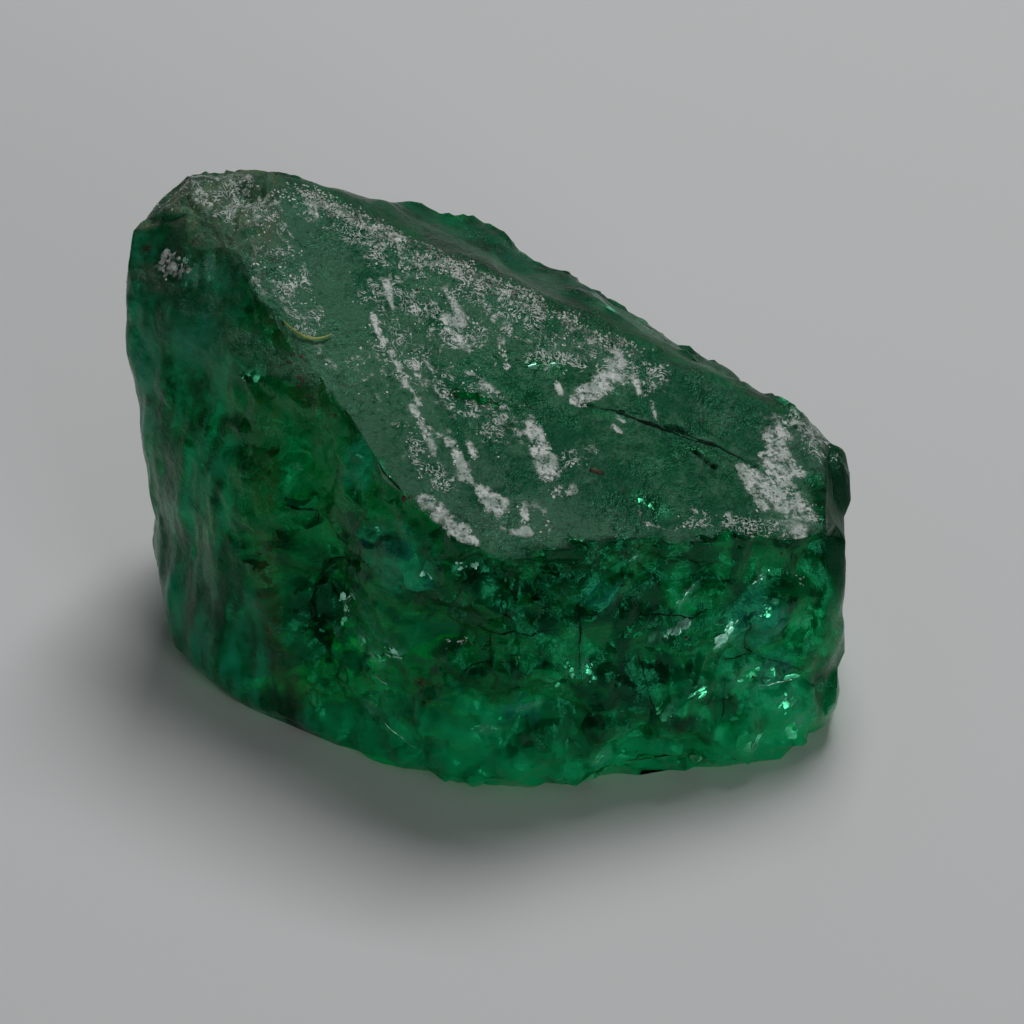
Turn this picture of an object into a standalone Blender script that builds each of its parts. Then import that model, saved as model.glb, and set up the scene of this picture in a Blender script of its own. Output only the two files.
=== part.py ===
"""Raw emerald crystal: one closed solid, broken from its matrix.

Frame: metres, +Z up, x to the right, y to the back. The crystal rests on a flat parting face in
z = 0. The solid starts as the convex body spanned by its named corners, the flat faces between
them are divided into small triangles, and the natural relief is then raised or sunk on them.
"""
import math

import bmesh
import bpy
from mathutils import Vector
from mathutils import noise

MM = 0.001

# ---------------------------------------------------------------- corners of the crystal (mm)
# Big frosted top face: it falls about 16 degrees to the front and 14 degrees to the right.
FROSTED_FACE_LEVEL = 8.18
FROSTED_FACE_RISE_X = -0.247
FROSTED_FACE_RISE_Y = 0.312

FROSTED_FACE_LEFT_EDGE = ((-6.4, 9.1), (-5.9, 7.1), (-4.7, 5.6), (-3.2, 4.1), (-2.2, 1.7), (-1.1, 0.8))
FROSTED_FACE_FRONT_EDGE = ((0.5, 0.2), (1.8, 0.8), (3.7, 1.4), (5.9, 2.1), (8.5, 2.5), (9.3, 3.0))
FROSTED_FACE_BACK_RIDGE = ((9.4, 5.7), (8.6, 6.3), (6.4, 7.0), (4.2, 7.5), (2.0, 8.2), (-0.1, 8.9),
                           (-2.3, 9.6), (-5.1, 10.7))
FROSTED_RIDGE_LEAN = -0.33

# Back band: the smoother face that falls away behind the ridge.
BACK_BAND_EDGE = ((-3.2, 11.7, 11.35), (-1.3, 12.6, 10.2), (0.0, 13.0, 9.8), (2.3, 11.8, 8.9),
                  (4.7, 9.8, 8.0), (6.7, 8.4, 7.6))

# Weathered cap at the top left, and the small bevel on its left side.
CAP_CORNERS = ((-8.1, 11.0, 13.0), (-6.7, 11.2, 13.1), (-8.1, 9.3, 12.9), (-7.2, 8.9, 12.7))
BEVEL_CORNERS = ((-9.9, 8.9, 11.4), (-9.6, 9.5, 12.1), (-9.1, 10.4, 12.5))

# Left prism face: it leans outward to the left and backward as it rises.
LEFT_FACE_CORNERS = ((-9.95, 8.5, 9.8), (-9.65, 7.7, 7.0), (-9.2, 6.6, 3.0), (-6.9, 3.9, 5.0), (-6.8, 5.9, 9.0))

# Right end: a narrow dark facet with a small step half way down.
RIGHT_END_CORNERS = ((9.95, 6.3, 6.9), (9.98, 4.4, 6.2), (9.9, 3.4, 5.2), (10.0, 3.1, 2.4))

# Rear prism faces, slightly bulged at mid height.
REAR_CORNERS = ((-8.9, 11.8, 6.0), (-4.0, 13.7, 6.5), (1.0, 13.9, 4.8), (6.2, 11.3, 4.2), (9.6, 7.9, 3.4))

# Lower rim: its outline a little above the parting face, and how far the parting face sits inside.
RIM_HEIGHT = 0.55
RIM_HEIGHT_CHANGE = 0.8
RIM_INSET = 0.60
RIM_INSET_CHANGE = 0.5
RIM_OUTLINE = ((-8.8, 6.2), (-8.4, 5.0), (-7.6, 3.8), (-5.9, 2.6), (-4.5, 1.7), (-3.2, 1.1), (-1.8, 0.4),
               (-0.1, -0.2), (0.9, -0.4), (1.7, -0.4), (2.5, -0.1), (5.6, 0.7), (7.1, 0.6), (8.4, 1.3), (9.4, 2.1),
               (9.9, 3.4), (9.4, 6.9), (6.3, 10.3), (1.4, 13.0), (-4.4, 12.8), (-8.3, 10.8))

# ---------------------------------------------------------------- mesh density (mm)
CELL = 0.68
CELL_AT_CRACK = 0.17
CRACK_REACH = 0.24

# ---------------------------------------------------------------- relief (mm)
TOP_LEDGE = 0.12
TOP_PIT = 0.07
BAND_STEP = 0.26
BAND_STRIP = 1.1
CAP_LUMP = 0.38
STRIA = 0.15
STRIA_PITCH = 1.05
COBBLE = 0.50
COBBLE_SIZE = 1.9
CHIP_DEPTH = 0.16
RIDGE_GROWTH = 0.04
RIDGE_ANGLE = math.radians(28.0)

HOLLOW_DEPTH = 1.10
HOLLOW_TOP = (-4.4, 5.2, 10.2)
HOLLOW_FOOT = (-3.9, 1.6, 1.6)
HOLLOW_HALF_WIDTH = 1.9

UNDERCUT_DEPTH = 0.55
UNDERCUT_DROP = 2.3
FRONT_EDGE_DRAWBACK = 0.30

# Cracks: polylines given in plan (x, y) for the top face, and as points for the sides.
CRACK_DEPTH = 0.26
TOP_CRACKS = (((2.4, 5.4), (3.7, 5.4), (4.5, 5.25), (5.0, 5.05), (5.85, 5.1), (6.65, 4.85), (7.4, 4.6)),
              ((5.65, 4.75), (6.2, 4.3)),
              ((-0.85, 5.15), (-0.2, 5.05), (0.5, 4.95)))
HOLLOW_CRACK = ((-3.8, 2.6, 6.6), (-4.3, 2.6, 5.4), (-4.5, 2.4, 4.6), (-4.3, 2.1, 3.0))

# Flake scars: round shallow hollows where chips have left: centre, radius, depth.
FLAKE_SCARS = (((-8.9, 8.6, 11.6), 1.3, 0.30), ((-7.6, 6.4, 9.4), 1.5, 0.22), ((-8.8, 5.6, 4.2), 1.6, 0.22),
               ((-6.2, 3.4, 2.2), 1.5, 0.30), ((-1.2, 0.6, 5.6), 1.7, 0.34), ((1.3, -0.2, 2.6), 1.5, 0.28),
               ((4.4, 1.1, 4.6), 1.6, 0.32), ((7.3, 1.7, 2.8), 1.8, 0.34), ((8.9, 2.4, 5.6), 1.3, 0.30),
               ((4.6, 0.2, 0.4), 2.1, 0.50), ((9.9, 4.6, 3.4), 1.7, 0.34), ((8.6, 8.4, 5.0), 2.0, 0.36),
               ((4.4, 11.6, 6.6), 2.2, 0.40), ((-1.6, 13.0, 5.2), 2.6, 0.45), ((-6.8, 12.4, 8.6), 2.0, 0.40),
               ((-8.9, 9.8, 4.6), 2.2, 0.40), ((1.4, 12.3, 9.0), 1.2, 0.28), ((-6.0, 12.2, 2.4), 2.0, 0.36),
               ((5.0, 2.9, 7.4), 1.5, 0.16), ((-0.6, 6.9, 10.2), 1.7, 0.16), ((6.6, 6.0, 8.2), 1.3, 0.14))


def clear_scene():
    for obj in list(bpy.data.objects):
        bpy.data.objects.remove(obj, do_unlink=True)


def frosted_level(x, y):
    """Height of the big frosted face over a plan position."""
    return FROSTED_FACE_LEVEL + FROSTED_FACE_RISE_X * x + FROSTED_FACE_RISE_Y * y


def rim_points():
    """The uneven lower rim, and the outline of the parting face inside it."""
    mid_x = sum(p[0] for p in RIM_OUTLINE) / len(RIM_OUTLINE)
    mid_y = sum(p[1] for p in RIM_OUTLINE) / len(RIM_OUTLINE)
    points = []
    for x, y in RIM_OUTLINE:
        uneven = noise.noise(Vector((x * 0.7, y * 0.7, 1.5)))
        points.append((x, y, max(0.3, RIM_HEIGHT + RIM_HEIGHT_CHANGE * uneven)))
        reach = math.hypot(x - mid_x, y - mid_y)
        inset = RIM_INSET + RIM_INSET_CHANGE * noise.noise(Vector((x * 0.8, y * 0.8, 8.5)))
        keep = (reach - inset) / reach
        points.append((mid_x + (x - mid_x) * keep, mid_y + (y - mid_y) * keep, 0.0))
    return points


def corner_points():
    """All corners of the convex body."""
    points = []
    for x, y in FROSTED_FACE_LEFT_EDGE + FROSTED_FACE_FRONT_EDGE + FROSTED_FACE_BACK_RIDGE:
        points.append((x, y, frosted_level(x, y)))
    for group in (BACK_BAND_EDGE, CAP_CORNERS, BEVEL_CORNERS, LEFT_FACE_CORNERS, RIGHT_END_CORNERS, REAR_CORNERS):
        points.extend(group)
    points.extend(rim_points())
    return points


def convex_body():
    """Span the corners, and merge triangles that lie in one natural face."""
    bm = bmesh.new()
    for point in corner_points():
        bm.verts.new(point)
    result = bmesh.ops.convex_hull(bm, input=bm.verts[:])
    inside = [g for g in result["geom_interior"] if isinstance(g, bmesh.types.BMVert)]
    bmesh.ops.delete(bm, geom=inside, context="VERTS")
    bmesh.ops.dissolve_limit(bm, angle_limit=math.radians(5.0), verts=bm.verts[:], edges=bm.edges[:])
    for edge in bm.edges:
        edge.smooth = False
    bmesh.ops.triangulate(bm, faces=bm.faces[:])
    return bm


def crack_lines():
    """Every crack as pieces (start, end, taper at the start, taper at the end)."""
    lines = [[Vector((x, y, frosted_level(x, y))) for x, y in line] for line in TOP_CRACKS]
    lines.append([Vector(p) for p in HOLLOW_CRACK])
    pieces = []
    for line in lines:
        last = len(line) - 1
        for i in range(last):
            start = 0.25 if i == 0 else 1.0
            end = 0.25 if i + 1 == last else 1.0
            pieces.append((line[i], line[i + 1], start, end))
    return pieces


def crack_distance(p, pieces):
    """Distance to the nearest crack, and the taper of the crack there."""
    best = (1e9, 1.0)
    for a, b, start, end in pieces:
        along = b - a
        t = max(0.0, min(1.0, (p - a).dot(along) / along.length_squared))
        gap = (p - (a + along * t)).length
        if gap < best[0]:
            best = (gap, start + (end - start) * t)
    return best


def cell_size(p, lines):
    """Triangles are small beside a crack and coarse elsewhere."""
    gap = crack_distance(p, lines)[0]
    if gap < CRACK_REACH:
        return CELL_AT_CRACK
    return min(CELL, CELL_AT_CRACK + 0.6 * (gap - CRACK_REACH))


def relax(bm):
    """Even out the triangles: face points move freely, ridge points only along their ridge."""
    moved = {}
    for vert in bm.verts:
        ridges = [e for e in vert.link_edges if not e.smooth]
        if not ridges:
            near = [e.other_vert(vert).co for e in vert.link_edges]
        elif len(ridges) == 2:
            near = [e.other_vert(vert).co for e in ridges]
            if (near[0] - vert.co).angle(near[1] - vert.co, 0.0) < math.radians(178.5):
                continue
        else:
            continue
        moved[vert] = sum(near, Vector()) / len(near)
    for vert, place in moved.items():
        vert.co = vert.co.lerp(place, 0.6)


def divide(bm, lines):
    """Split long edges again and again until each is near the wanted cell size."""
    for _ in range(9):
        long_edges = []
        for edge in bm.edges:
            mid = (edge.verts[0].co + edge.verts[1].co) / 2.0
            if edge.calc_length() > 1.35 * cell_size(mid, lines):
                long_edges.append(edge)
        if not long_edges:
            break
        bmesh.ops.subdivide_edges(bm, edges=long_edges, cuts=1)
        wide = [f for f in bm.faces if len(f.verts) > 3]
        bmesh.ops.triangulate(bm, faces=wide)
        for _ in range(2):
            inner = [e for e in bm.edges if e.smooth]
            bmesh.ops.beautify_fill(bm, faces=bm.faces[:], edges=inner, method="ANGLE")
            relax(bm)


def smoothstep(low, high, value):
    t = max(0.0, min(1.0, (value - low) / (high - low)))
    return t * t * (3.0 - 2.0 * t)


def top_relief(p):
    """Broken ledges and small pits of the frosted face."""
    ledge = noise.noise(Vector((p.x * 0.42 + 3.1, p.y * 0.62, 7.0)))
    steps = math.floor(ledge * 5.0) / 5.0 * 0.6 + ledge * 0.4
    pits = max(0.0, noise.noise(Vector((p.x * 1.3, p.y * 1.3, 2.0))) - 0.15)
    return TOP_LEDGE * steps * 1.6 - TOP_PIT * 2.0 * pits


def band_relief(p):
    """Long broken steps of the back band; a plain strip is left along the ridge."""
    behind = p.y - 8.9 - FROSTED_RIDGE_LEAN * p.x
    level = noise.noise(Vector((p.x * 0.45, p.y * 0.75, 14.0))) * 2.6
    steps = math.floor(level) + smoothstep(0.6, 1.0, level - math.floor(level))
    return BAND_STEP * (0.55 * steps - 0.2) * smoothstep(BAND_STRIP - 0.4, BAND_STRIP + 0.4, behind)


def cap_relief(p):
    """Rounded lumps of the weathered cap."""
    lumps = noise.noise(Vector((p.x * 0.95, p.y * 0.95, p.z * 0.95 + 11.0)))
    small = noise.noise(Vector((p.x * 2.1, p.y * 2.1, 5.0)))
    return CAP_LUMP * (lumps + 0.45 * small)


def stria_relief(p):
    """Stepped growth striations along the prism axis."""
    across = math.hypot(p.x + 2.0, p.y - 6.0) * 0.15 + math.atan2(p.y - 6.0, p.x + 0.5) * 7.5
    across += 0.5 * noise.noise(Vector((p.x * 0.3, p.y * 0.3, p.z * 0.18)))
    phase = across / STRIA_PITCH
    saw = phase - math.floor(phase)
    strength = 0.6 + 0.8 * noise.noise(Vector((math.floor(phase) * 0.77, p.z * 0.12, 4.0)))
    return STRIA * strength * (smoothstep(0.0, 0.75, saw) - smoothstep(0.75, 1.0, saw))


def cobble_relief(p):
    """Broken lumps of the glassy faces: each has its own tilt, and fracture grooves set them apart."""
    spot = p / COBBLE_SIZE + Vector((0.25, 0.0, 0.4)) * noise.noise(p * 0.4)
    near, middles = noise.voronoi(spot)
    edge = near[1] - near[0]
    dome = smoothstep(0.0, 0.40, edge)
    tilt = noise.cell_vector(middles[0] * 7.3) - Vector((0.5, 0.5, 0.5))
    facet = (spot - middles[0]).dot(tilt) * smoothstep(0.0, 0.25, edge)
    wave = noise.noise(p * 0.55 + Vector((0.0, 9.0, 0.0)))
    return COBBLE * (0.36 * dome - 0.28 + 1.3 * facet + 0.40 * wave)


def scar_relief(p):
    """Shallow round scars; a scar is deepest in the middle and ends at a crisp rim."""
    depth = 0.0
    for centre, radius, sink in FLAKE_SCARS:
        ratio = (p - Vector(centre)).length / radius
        if ratio < 1.0:
            depth = max(depth, sink * (1.0 - ratio * ratio))
    return -depth


def hollow_relief(p):
    """Long hollow of the middle face, below the left edge of the frosted face."""
    top = Vector(HOLLOW_TOP)
    foot = Vector(HOLLOW_FOOT)
    along = foot - top
    t = max(0.0, min(1.0, (p - top).dot(along) / along.length_squared))
    gap = (p - (top + along * t)).length / HOLLOW_HALF_WIDTH
    ends = smoothstep(0.0, 0.22, t) * (1.0 - 0.6 * smoothstep(0.6, 1.0, t))
    return -HOLLOW_DEPTH * ends * (1.0 - smoothstep(0.15, 1.0, gap))


def undercut(p, normal):
    """Shift to the back: the front edge of the frosted face is drawn in, and more so just below it."""
    if normal.y > -0.36:
        return Vector()
    drop = frosted_level(p.x, p.y) - p.z
    below = smoothstep(0.0, 0.6, drop) * (1.0 - smoothstep(0.7, UNDERCUT_DROP, drop))
    edge = (1.0 - smoothstep(0.0, 1.4, drop)) * smoothstep(0.7, 1.7, p.x) * (1.0 - smoothstep(7.4, 8.6, p.x))
    depth = max(UNDERCUT_DEPTH * below * smoothstep(-1.6, 0.4, p.x), FRONT_EDGE_DRAWBACK * edge)
    return Vector((0.0, depth, 0.0))


def crack_relief(p, lines):
    gap, taper = crack_distance(p, lines)
    return -CRACK_DEPTH * taper * (1.0 - smoothstep(0.03, CRACK_REACH * taper, gap))


def relief(p, normal, on_ridge, lines):
    """Signed height of the natural surface over the flat faces, in mm."""
    up = smoothstep(0.55, 0.85, normal.z)
    side = 1.0 - smoothstep(0.25, 0.65, abs(normal.z))
    cap = up * smoothstep(12.1, 12.6, p.z) * (1.0 - smoothstep(-6.6, -5.6, p.x))
    left = side * smoothstep(0.35, 0.75, -normal.x)
    rear = side * smoothstep(0.15, 0.55, normal.y)
    prism = max(left, rear)
    band = smoothstep(0.0, 0.5, p.y - 8.9 - FROSTED_RIDGE_LEAN * p.x)
    height = up * (1.0 - cap) * (1.0 - band) * top_relief(p)
    height += up * (1.0 - cap) * band * band_relief(p)
    height += cap * cap_relief(p)
    height += prism * stria_relief(p)
    height += (1.0 - up) * (1.0 - 0.55 * prism) * cobble_relief(p)
    height += scar_relief(p)
    height += hollow_relief(p)
    height += crack_relief(p, lines)
    if on_ridge:
        height = min(height, RIDGE_GROWTH)
        height -= CHIP_DEPTH * max(0.0, 0.5 + noise.noise(p * 1.15 + Vector((4.0, 0.0, 0.0))))
    return height


def raise_relief(bm, lines):
    """Move each point along its normal; the parting face stays flat in z = 0."""
    bm.normal_update()
    places = []
    for vert in bm.verts:
        on_ridge = any(e.calc_face_angle(0.0) > RIDGE_ANGLE for e in vert.link_edges)
        normal = vert.normal.copy()
        if vert.co.z < 1e-6:
            rim = any(f.normal.z > -0.9 for f in vert.link_faces)
            if not rim:
                places.append(vert.co.copy())
                continue
            normal.z = 0.0
            normal.normalize()
            places.append(vert.co + normal * 0.5 * relief(vert.co, normal, True, lines))
            continue
        place = vert.co + normal * relief(vert.co, normal, on_ridge, lines) + undercut(vert.co, normal)
        place.z = max(place.z, 0.12)
        places.append(place)
    for vert, place in zip(bm.verts, places):
        vert.co = place


def centre_on_footprint(bm):
    """Put the origin under the middle of the bounding box."""
    xs = [v.co.x for v in bm.verts]
    ys = [v.co.y for v in bm.verts]
    shift = Vector(((min(xs) + max(xs)) / 2.0, (min(ys) + max(ys)) / 2.0, 0.0))
    for vert in bm.verts:
        vert.co = (vert.co - shift) * MM


def emerald_material():
    material = bpy.data.materials.new("emerald")
    material.use_nodes = True
    shader = material.node_tree.nodes["Principled BSDF"]
    shader.inputs["Base Color"].default_value = (0.010, 0.170, 0.075, 1.0)
    shader.inputs["Roughness"].default_value = 0.22
    shader.inputs["IOR"].default_value = 1.58
    return material


def emerald_crystal():
    """The whole crystal as one object."""
    lines = crack_lines()
    bm = convex_body()
    divide(bm, lines)
    raise_relief(bm, lines)
    centre_on_footprint(bm)
    bmesh.ops.recalc_face_normals(bm, faces=bm.faces[:])
    mesh = bpy.data.meshes.new("emerald_crystal")
    bm.to_mesh(mesh)
    bm.free()
    mesh.materials.append(emerald_material())
    obj = bpy.data.objects.new("emerald_crystal", mesh)
    bpy.context.scene.collection.objects.link(obj)
    return obj


clear_scene()
emerald_crystal()
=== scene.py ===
import math
from itertools import product

import bmesh
import bpy
import numpy as np
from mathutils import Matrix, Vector


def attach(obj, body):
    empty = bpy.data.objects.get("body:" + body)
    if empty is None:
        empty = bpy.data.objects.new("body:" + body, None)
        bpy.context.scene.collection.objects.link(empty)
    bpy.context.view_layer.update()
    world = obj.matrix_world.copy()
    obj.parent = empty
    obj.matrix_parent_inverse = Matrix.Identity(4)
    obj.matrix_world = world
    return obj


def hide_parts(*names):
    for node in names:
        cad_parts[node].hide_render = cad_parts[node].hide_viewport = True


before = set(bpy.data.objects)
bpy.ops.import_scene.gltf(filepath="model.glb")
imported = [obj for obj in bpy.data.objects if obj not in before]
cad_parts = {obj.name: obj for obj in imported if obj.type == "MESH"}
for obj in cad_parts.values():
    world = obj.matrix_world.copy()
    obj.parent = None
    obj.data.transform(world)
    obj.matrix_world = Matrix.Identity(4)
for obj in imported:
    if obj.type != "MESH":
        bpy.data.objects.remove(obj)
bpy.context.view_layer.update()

MM = 0.001
REFINE_LEVELS = 2
# Angles between two faces, in degrees: an edge of the solid goes from soft to creased over the first two,
# and an edge of the finished skin is shaded sharp above the third.
CREASE_ANGLES = (16.0, 42.0)
SHARP_ANGLE = 24.0

# The named places below are measured from a setting-out point this far from the frame's origin (mm).
SETTING_OUT = np.array((-0.056, -0.303, 0.0))

# Big frosted top face: height in mm over a plan position (see frosted_level).
FROSTED_LEVEL = 10.19
FROSTED_RISE_X = -0.247
FROSTED_RISE_Y = 0.312
# The ridge in plan (x, then y), and the right limit of the left face (height, then x).
RIDGE_PLAN = ((-5.1, -2.3, 2.0, 6.4, 9.4), (4.2, 3.1, 1.75, 0.55, -0.75))
LEFT_FACE_LIMIT = ((0.4, 3.0, 5.2, 9.0, 12.6), (-4.6, -5.9, -6.9, -6.8, -6.5))

# Refraction and colour of the stone.
EMERALD_IOR = 1.58
EMERALD_TRANSMISSION = 0.70
ABSORPTION_COLOUR = (0.03, 0.84, 0.62)
ABSORPTION_DENSITY = 420.0

# Lengths in mm: how far the chalk film stands off the skin, a hairline's rows, how deep its sides and how
# high its crest lie, how far it wanders, and the fibre's thickest radius.
FILM_LIFT = 0.015
HAIRLINE_ROW = 0.05
HAIRLINE_SINK = 0.012
HAIRLINE_CREST = 0.014
HAIRLINE_WANDER = 0.05
FIBRE_RADIUS = 0.042
FIBRE_ROWS = 48
FIBRE_SIDES = 10

# Large odd numbers that mix the bits of a lattice point.
MIXERS = (374761393, 668265263, 2246822519, 3266489917)


# ---- numbers that repeat
def lattice_number(i, seed):
    """A repeatable number from 0 to 1 for each lattice point: multiply, add and fold the bits."""
    first, second, third, fourth = (np.uint32(mixer) for mixer in MIXERS)
    x, y, z = (i[:, k].astype(np.uint32) for k in range(3))
    h = x * first + y * second + z * third + np.uint32((seed * MIXERS[3] + 97) % 4294967296)
    h = (h ^ (h >> np.uint32(15))) * third
    h = (h ^ (h >> np.uint32(13))) * fourth
    h = h ^ (h >> np.uint32(16))
    return h.astype(np.float64) / 4294967295.0


def cloud(p, seed):
    """Gradient noise, about -1 to 1: each lattice corner's slope times the offset from it, blended
    with the fade 6t^5 - 15t^4 + 10t^3."""
    cell = np.floor(p)
    f = p - cell
    i = cell.astype(np.int64)
    fade = f * f * f * (f * (f * 6.0 - 15.0) + 10.0)
    total = np.zeros(len(p))
    for corner in product((0, 1), repeat=3):
        part = sum((lattice_number(i + np.array(corner), seed + more) * 2.0 - 1.0) * (f[:, k] - corner[k])
                   for k, more in enumerate((0, 31, 67)))
        for k in range(3):
            part = part * (fade[:, k] if corner[k] else 1.0 - fade[:, k])
        total += part
    return total * 1.4


def cloud_shift(p, seed):
    """Three clouds, one for each direction."""
    return np.stack([cloud(p, seed + k) for k in range(3)], 1)


def layered(p, seed, layers, gain=0.5):
    """Sum of clouds, each twice as fine and gain times as strong as the one before."""
    total = np.zeros(len(p))
    for k in range(layers):
        total += gain ** k * cloud(p * 2.0 ** k + 17.3 * k, seed + 5 * k)
    return total


def pieces_of(p, seed):
    """Split space into cells round jittered lattice points. Gives the distance to the nearest and
    the second nearest point, the offset from the nearest, and its lattice numbers."""
    i = np.floor(p).astype(np.int64)
    near = np.full(len(p), 1e9)
    second = np.full(len(p), 1e9)
    offset = np.zeros((len(p), 3))
    owner = np.zeros((len(p), 3), dtype=np.int64)
    for corner in product((-1, 0, 1), repeat=3):
        j = i + np.array(corner)
        gap = p - np.stack([j[:, k] + lattice_number(j, seed + 11 * k) for k in range(3)], 1)
        dist = np.sqrt((gap * gap).sum(1))
        closer = dist < near
        second = np.where(closer, near, np.minimum(second, dist))
        near = np.where(closer, dist, near)
        offset[closer] = gap[closer]
        owner[closer] = j[closer]
    return near, second, offset, owner


def step(low, high, value):
    """Smooth rise from 0 at low to 1 at high."""
    t = np.clip((value - low) / (high - low), 0.0, 1.0)
    return t * t * (3.0 - 2.0 * t)


def broken_facets(p, size, seed):
    """Height of small broken facets: every cell is a plane with its own tilt, and drops at its edge.
    height = offset from the cell's middle, dotted with the cell's own direction, times the edge fade."""
    near, second, offset, owner = pieces_of(p / size, seed)
    tilt = np.stack([lattice_number(owner, seed + 41 + k) * 2.0 - 1.0 for k in range(3)], 1)
    edge = second - near
    return (offset * tilt).sum(1) * step(0.0, 0.16, edge), edge


# ---- places on the crystal (mm)
def frosted_level(x, y):
    """Height of the frosted face's plane over a plan position."""
    return FROSTED_LEVEL + FROSTED_RISE_X * x + FROSTED_RISE_Y * y


def on_top(x, y):
    """The place on the frosted face's plane over a plan position."""
    return (x, y, frosted_level(x, y))


def top_line(*places):
    """A broken line on the frosted face, from plan positions."""
    return [on_top(x, y) for x, y in places]


def ridge_gap(p):
    """How far each point lies behind the ridge, in plan."""
    return p[:, 1] - np.interp(p[:, 0], *RIDGE_PLAN)


def zones(p, n):
    """How far each point belongs to each face, 0 to 1, from its place and the way it faces."""
    up = np.maximum(step(0.58, 0.84, n[:, 2]), step(0.36, 0.27, near_line(p, TOP_GROOVE)))
    behind = step(-0.1, 0.25, ridge_gap(p))
    cap = up * step(-5.2, -6.2, p[:, 0]) * step(1.4, 2.2, p[:, 1])
    past_limit = p[:, 0] - np.interp(p[:, 2], *LEFT_FACE_LIMIT)
    left = (1.0 - up) * step(0.35, -0.35, past_limit) * step(7.5, 5.5, p[:, 1])
    return {"up": up, "top": up * (1.0 - behind) * (1.0 - cap), "band": up * behind * (1.0 - cap),
            "cap": cap, "side": 1.0 - step(0.30, 0.66, np.abs(n[:, 2])), "left": left}


def segment_gap(p, a, b):
    """Distance from each point to the straight stretch from a to b."""
    a = np.array(a, float)
    along = np.array(b, float) - a
    t = np.clip(((p - a) @ along) / (along @ along), 0.0, 1.0)
    gap = p - a - t[:, None] * along
    return np.sqrt((gap * gap).sum(1))


def near_line(p, points):
    """Distance from each point to a broken line."""
    return np.min([segment_gap(p, a, b) for a, b in zip(points, points[1:])], axis=0)


def spot_gap(p, centre, radius):
    """Distance from each point to a centre, in radii."""
    return np.sqrt(((p - np.array(centre)) ** 2).sum(1)) / radius


def near_spots(p, spots, ragged, seed):
    """1 inside any of the named round spots (centre, radius), 0 outside, with ragged edges."""
    wobble = layered(p * 1.7, seed, 3) * ragged
    return np.max([step(1.0, 0.45, spot_gap(p, *spot) + wobble) for spot in spots], axis=0)


def near_smears(p, smears, ragged, seed):
    """The named strength inside any smear (start x, y, end x, y, half width, strength, all in plan), 0
    outside, ragged at the edge."""
    wobble = layered(p * 1.3, seed, 4, 0.6) * ragged
    value = np.zeros(len(p))
    for ax, ay, bx, by, half, strength in smears:
        gap = segment_gap(p[:, :2], (ax, ay), (bx, by))
        value = np.maximum(value, strength * step(1.5, 0.3, gap / half + wobble))
    return value


def shaded(p, rows):
    """The strongest shade at each point. Each row names lines, the strength on them, the distances at which
    the shade starts and is full, and how far, how finely and by which cloud the distance wanders."""
    shade = np.zeros(len(p))
    for lines, strength, start, full, wander, scale, seed in rows:
        shift = wander * cloud(p * scale, seed)
        for line in lines:
            shade = np.maximum(shade, strength * step(start, full, near_line(p, line) + shift))
    return shade


# ---- lines and places that are named one by one (mm)
TOP_CRACK_LINES = (
    top_line((2.5, -0.98), (2.9, -0.97), (3.7, -0.98), (4.4, -1.14), (5.1, -1.28), (5.5, -1.42), (6.17, -1.39),
             (6.7, -1.60), (7.35, -1.84)),
    top_line((5.12, -1.14), (5.53, -1.30), (6.17, -1.42)),
    top_line((5.55, -1.72), (5.82, -1.90), (6.18, -2.18)),
    top_line((4.7, -1.25), (5.15, -1.14), (5.5, -1.38)))
TOP_CRACK_WIDTHS = (0.11, 0.10, 0.06, 0.08)
# The groove of the solid under the main crack.
TOP_GROOVE = top_line((2.38, -1.05), (3.68, -1.05), (4.48, -1.2), (4.98, -1.4), (5.83, -1.35), (6.63, -1.6),
                      (7.38, -1.85))
FAINT_CRACK_LINE = top_line((-1.4, -1.41), (-0.4, -1.35), (0.2, -1.43), (0.8, -1.48))
CRACK_SHADE_LINE = top_line((2.9, -1.05), (3.8, -1.12), (4.7, -1.3), (5.6, -1.45), (6.2, -1.5))
HOLLOW_CRACK_LINE = [
    (-3.55, -3.8, 6.2), (-3.95, -3.35, 5.7), (-4.2, -3.1, 5.4), (-4.4, -3.2, 4.9), (-4.6, -3.4, 4.1),
    (-4.5, -3.55, 3.4), (-4.3, -3.85, 2.7)]
HOLLOW_SIDE_CRACK = [(-5.55, -2.6, 7.1), (-5.1, -2.75, 7.1), (-4.55, -2.8, 7.0), (-4.55, -3.0, 6.7)]
HOLLOW_CRACK_WIDTHS = (0.08, 0.06)
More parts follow.
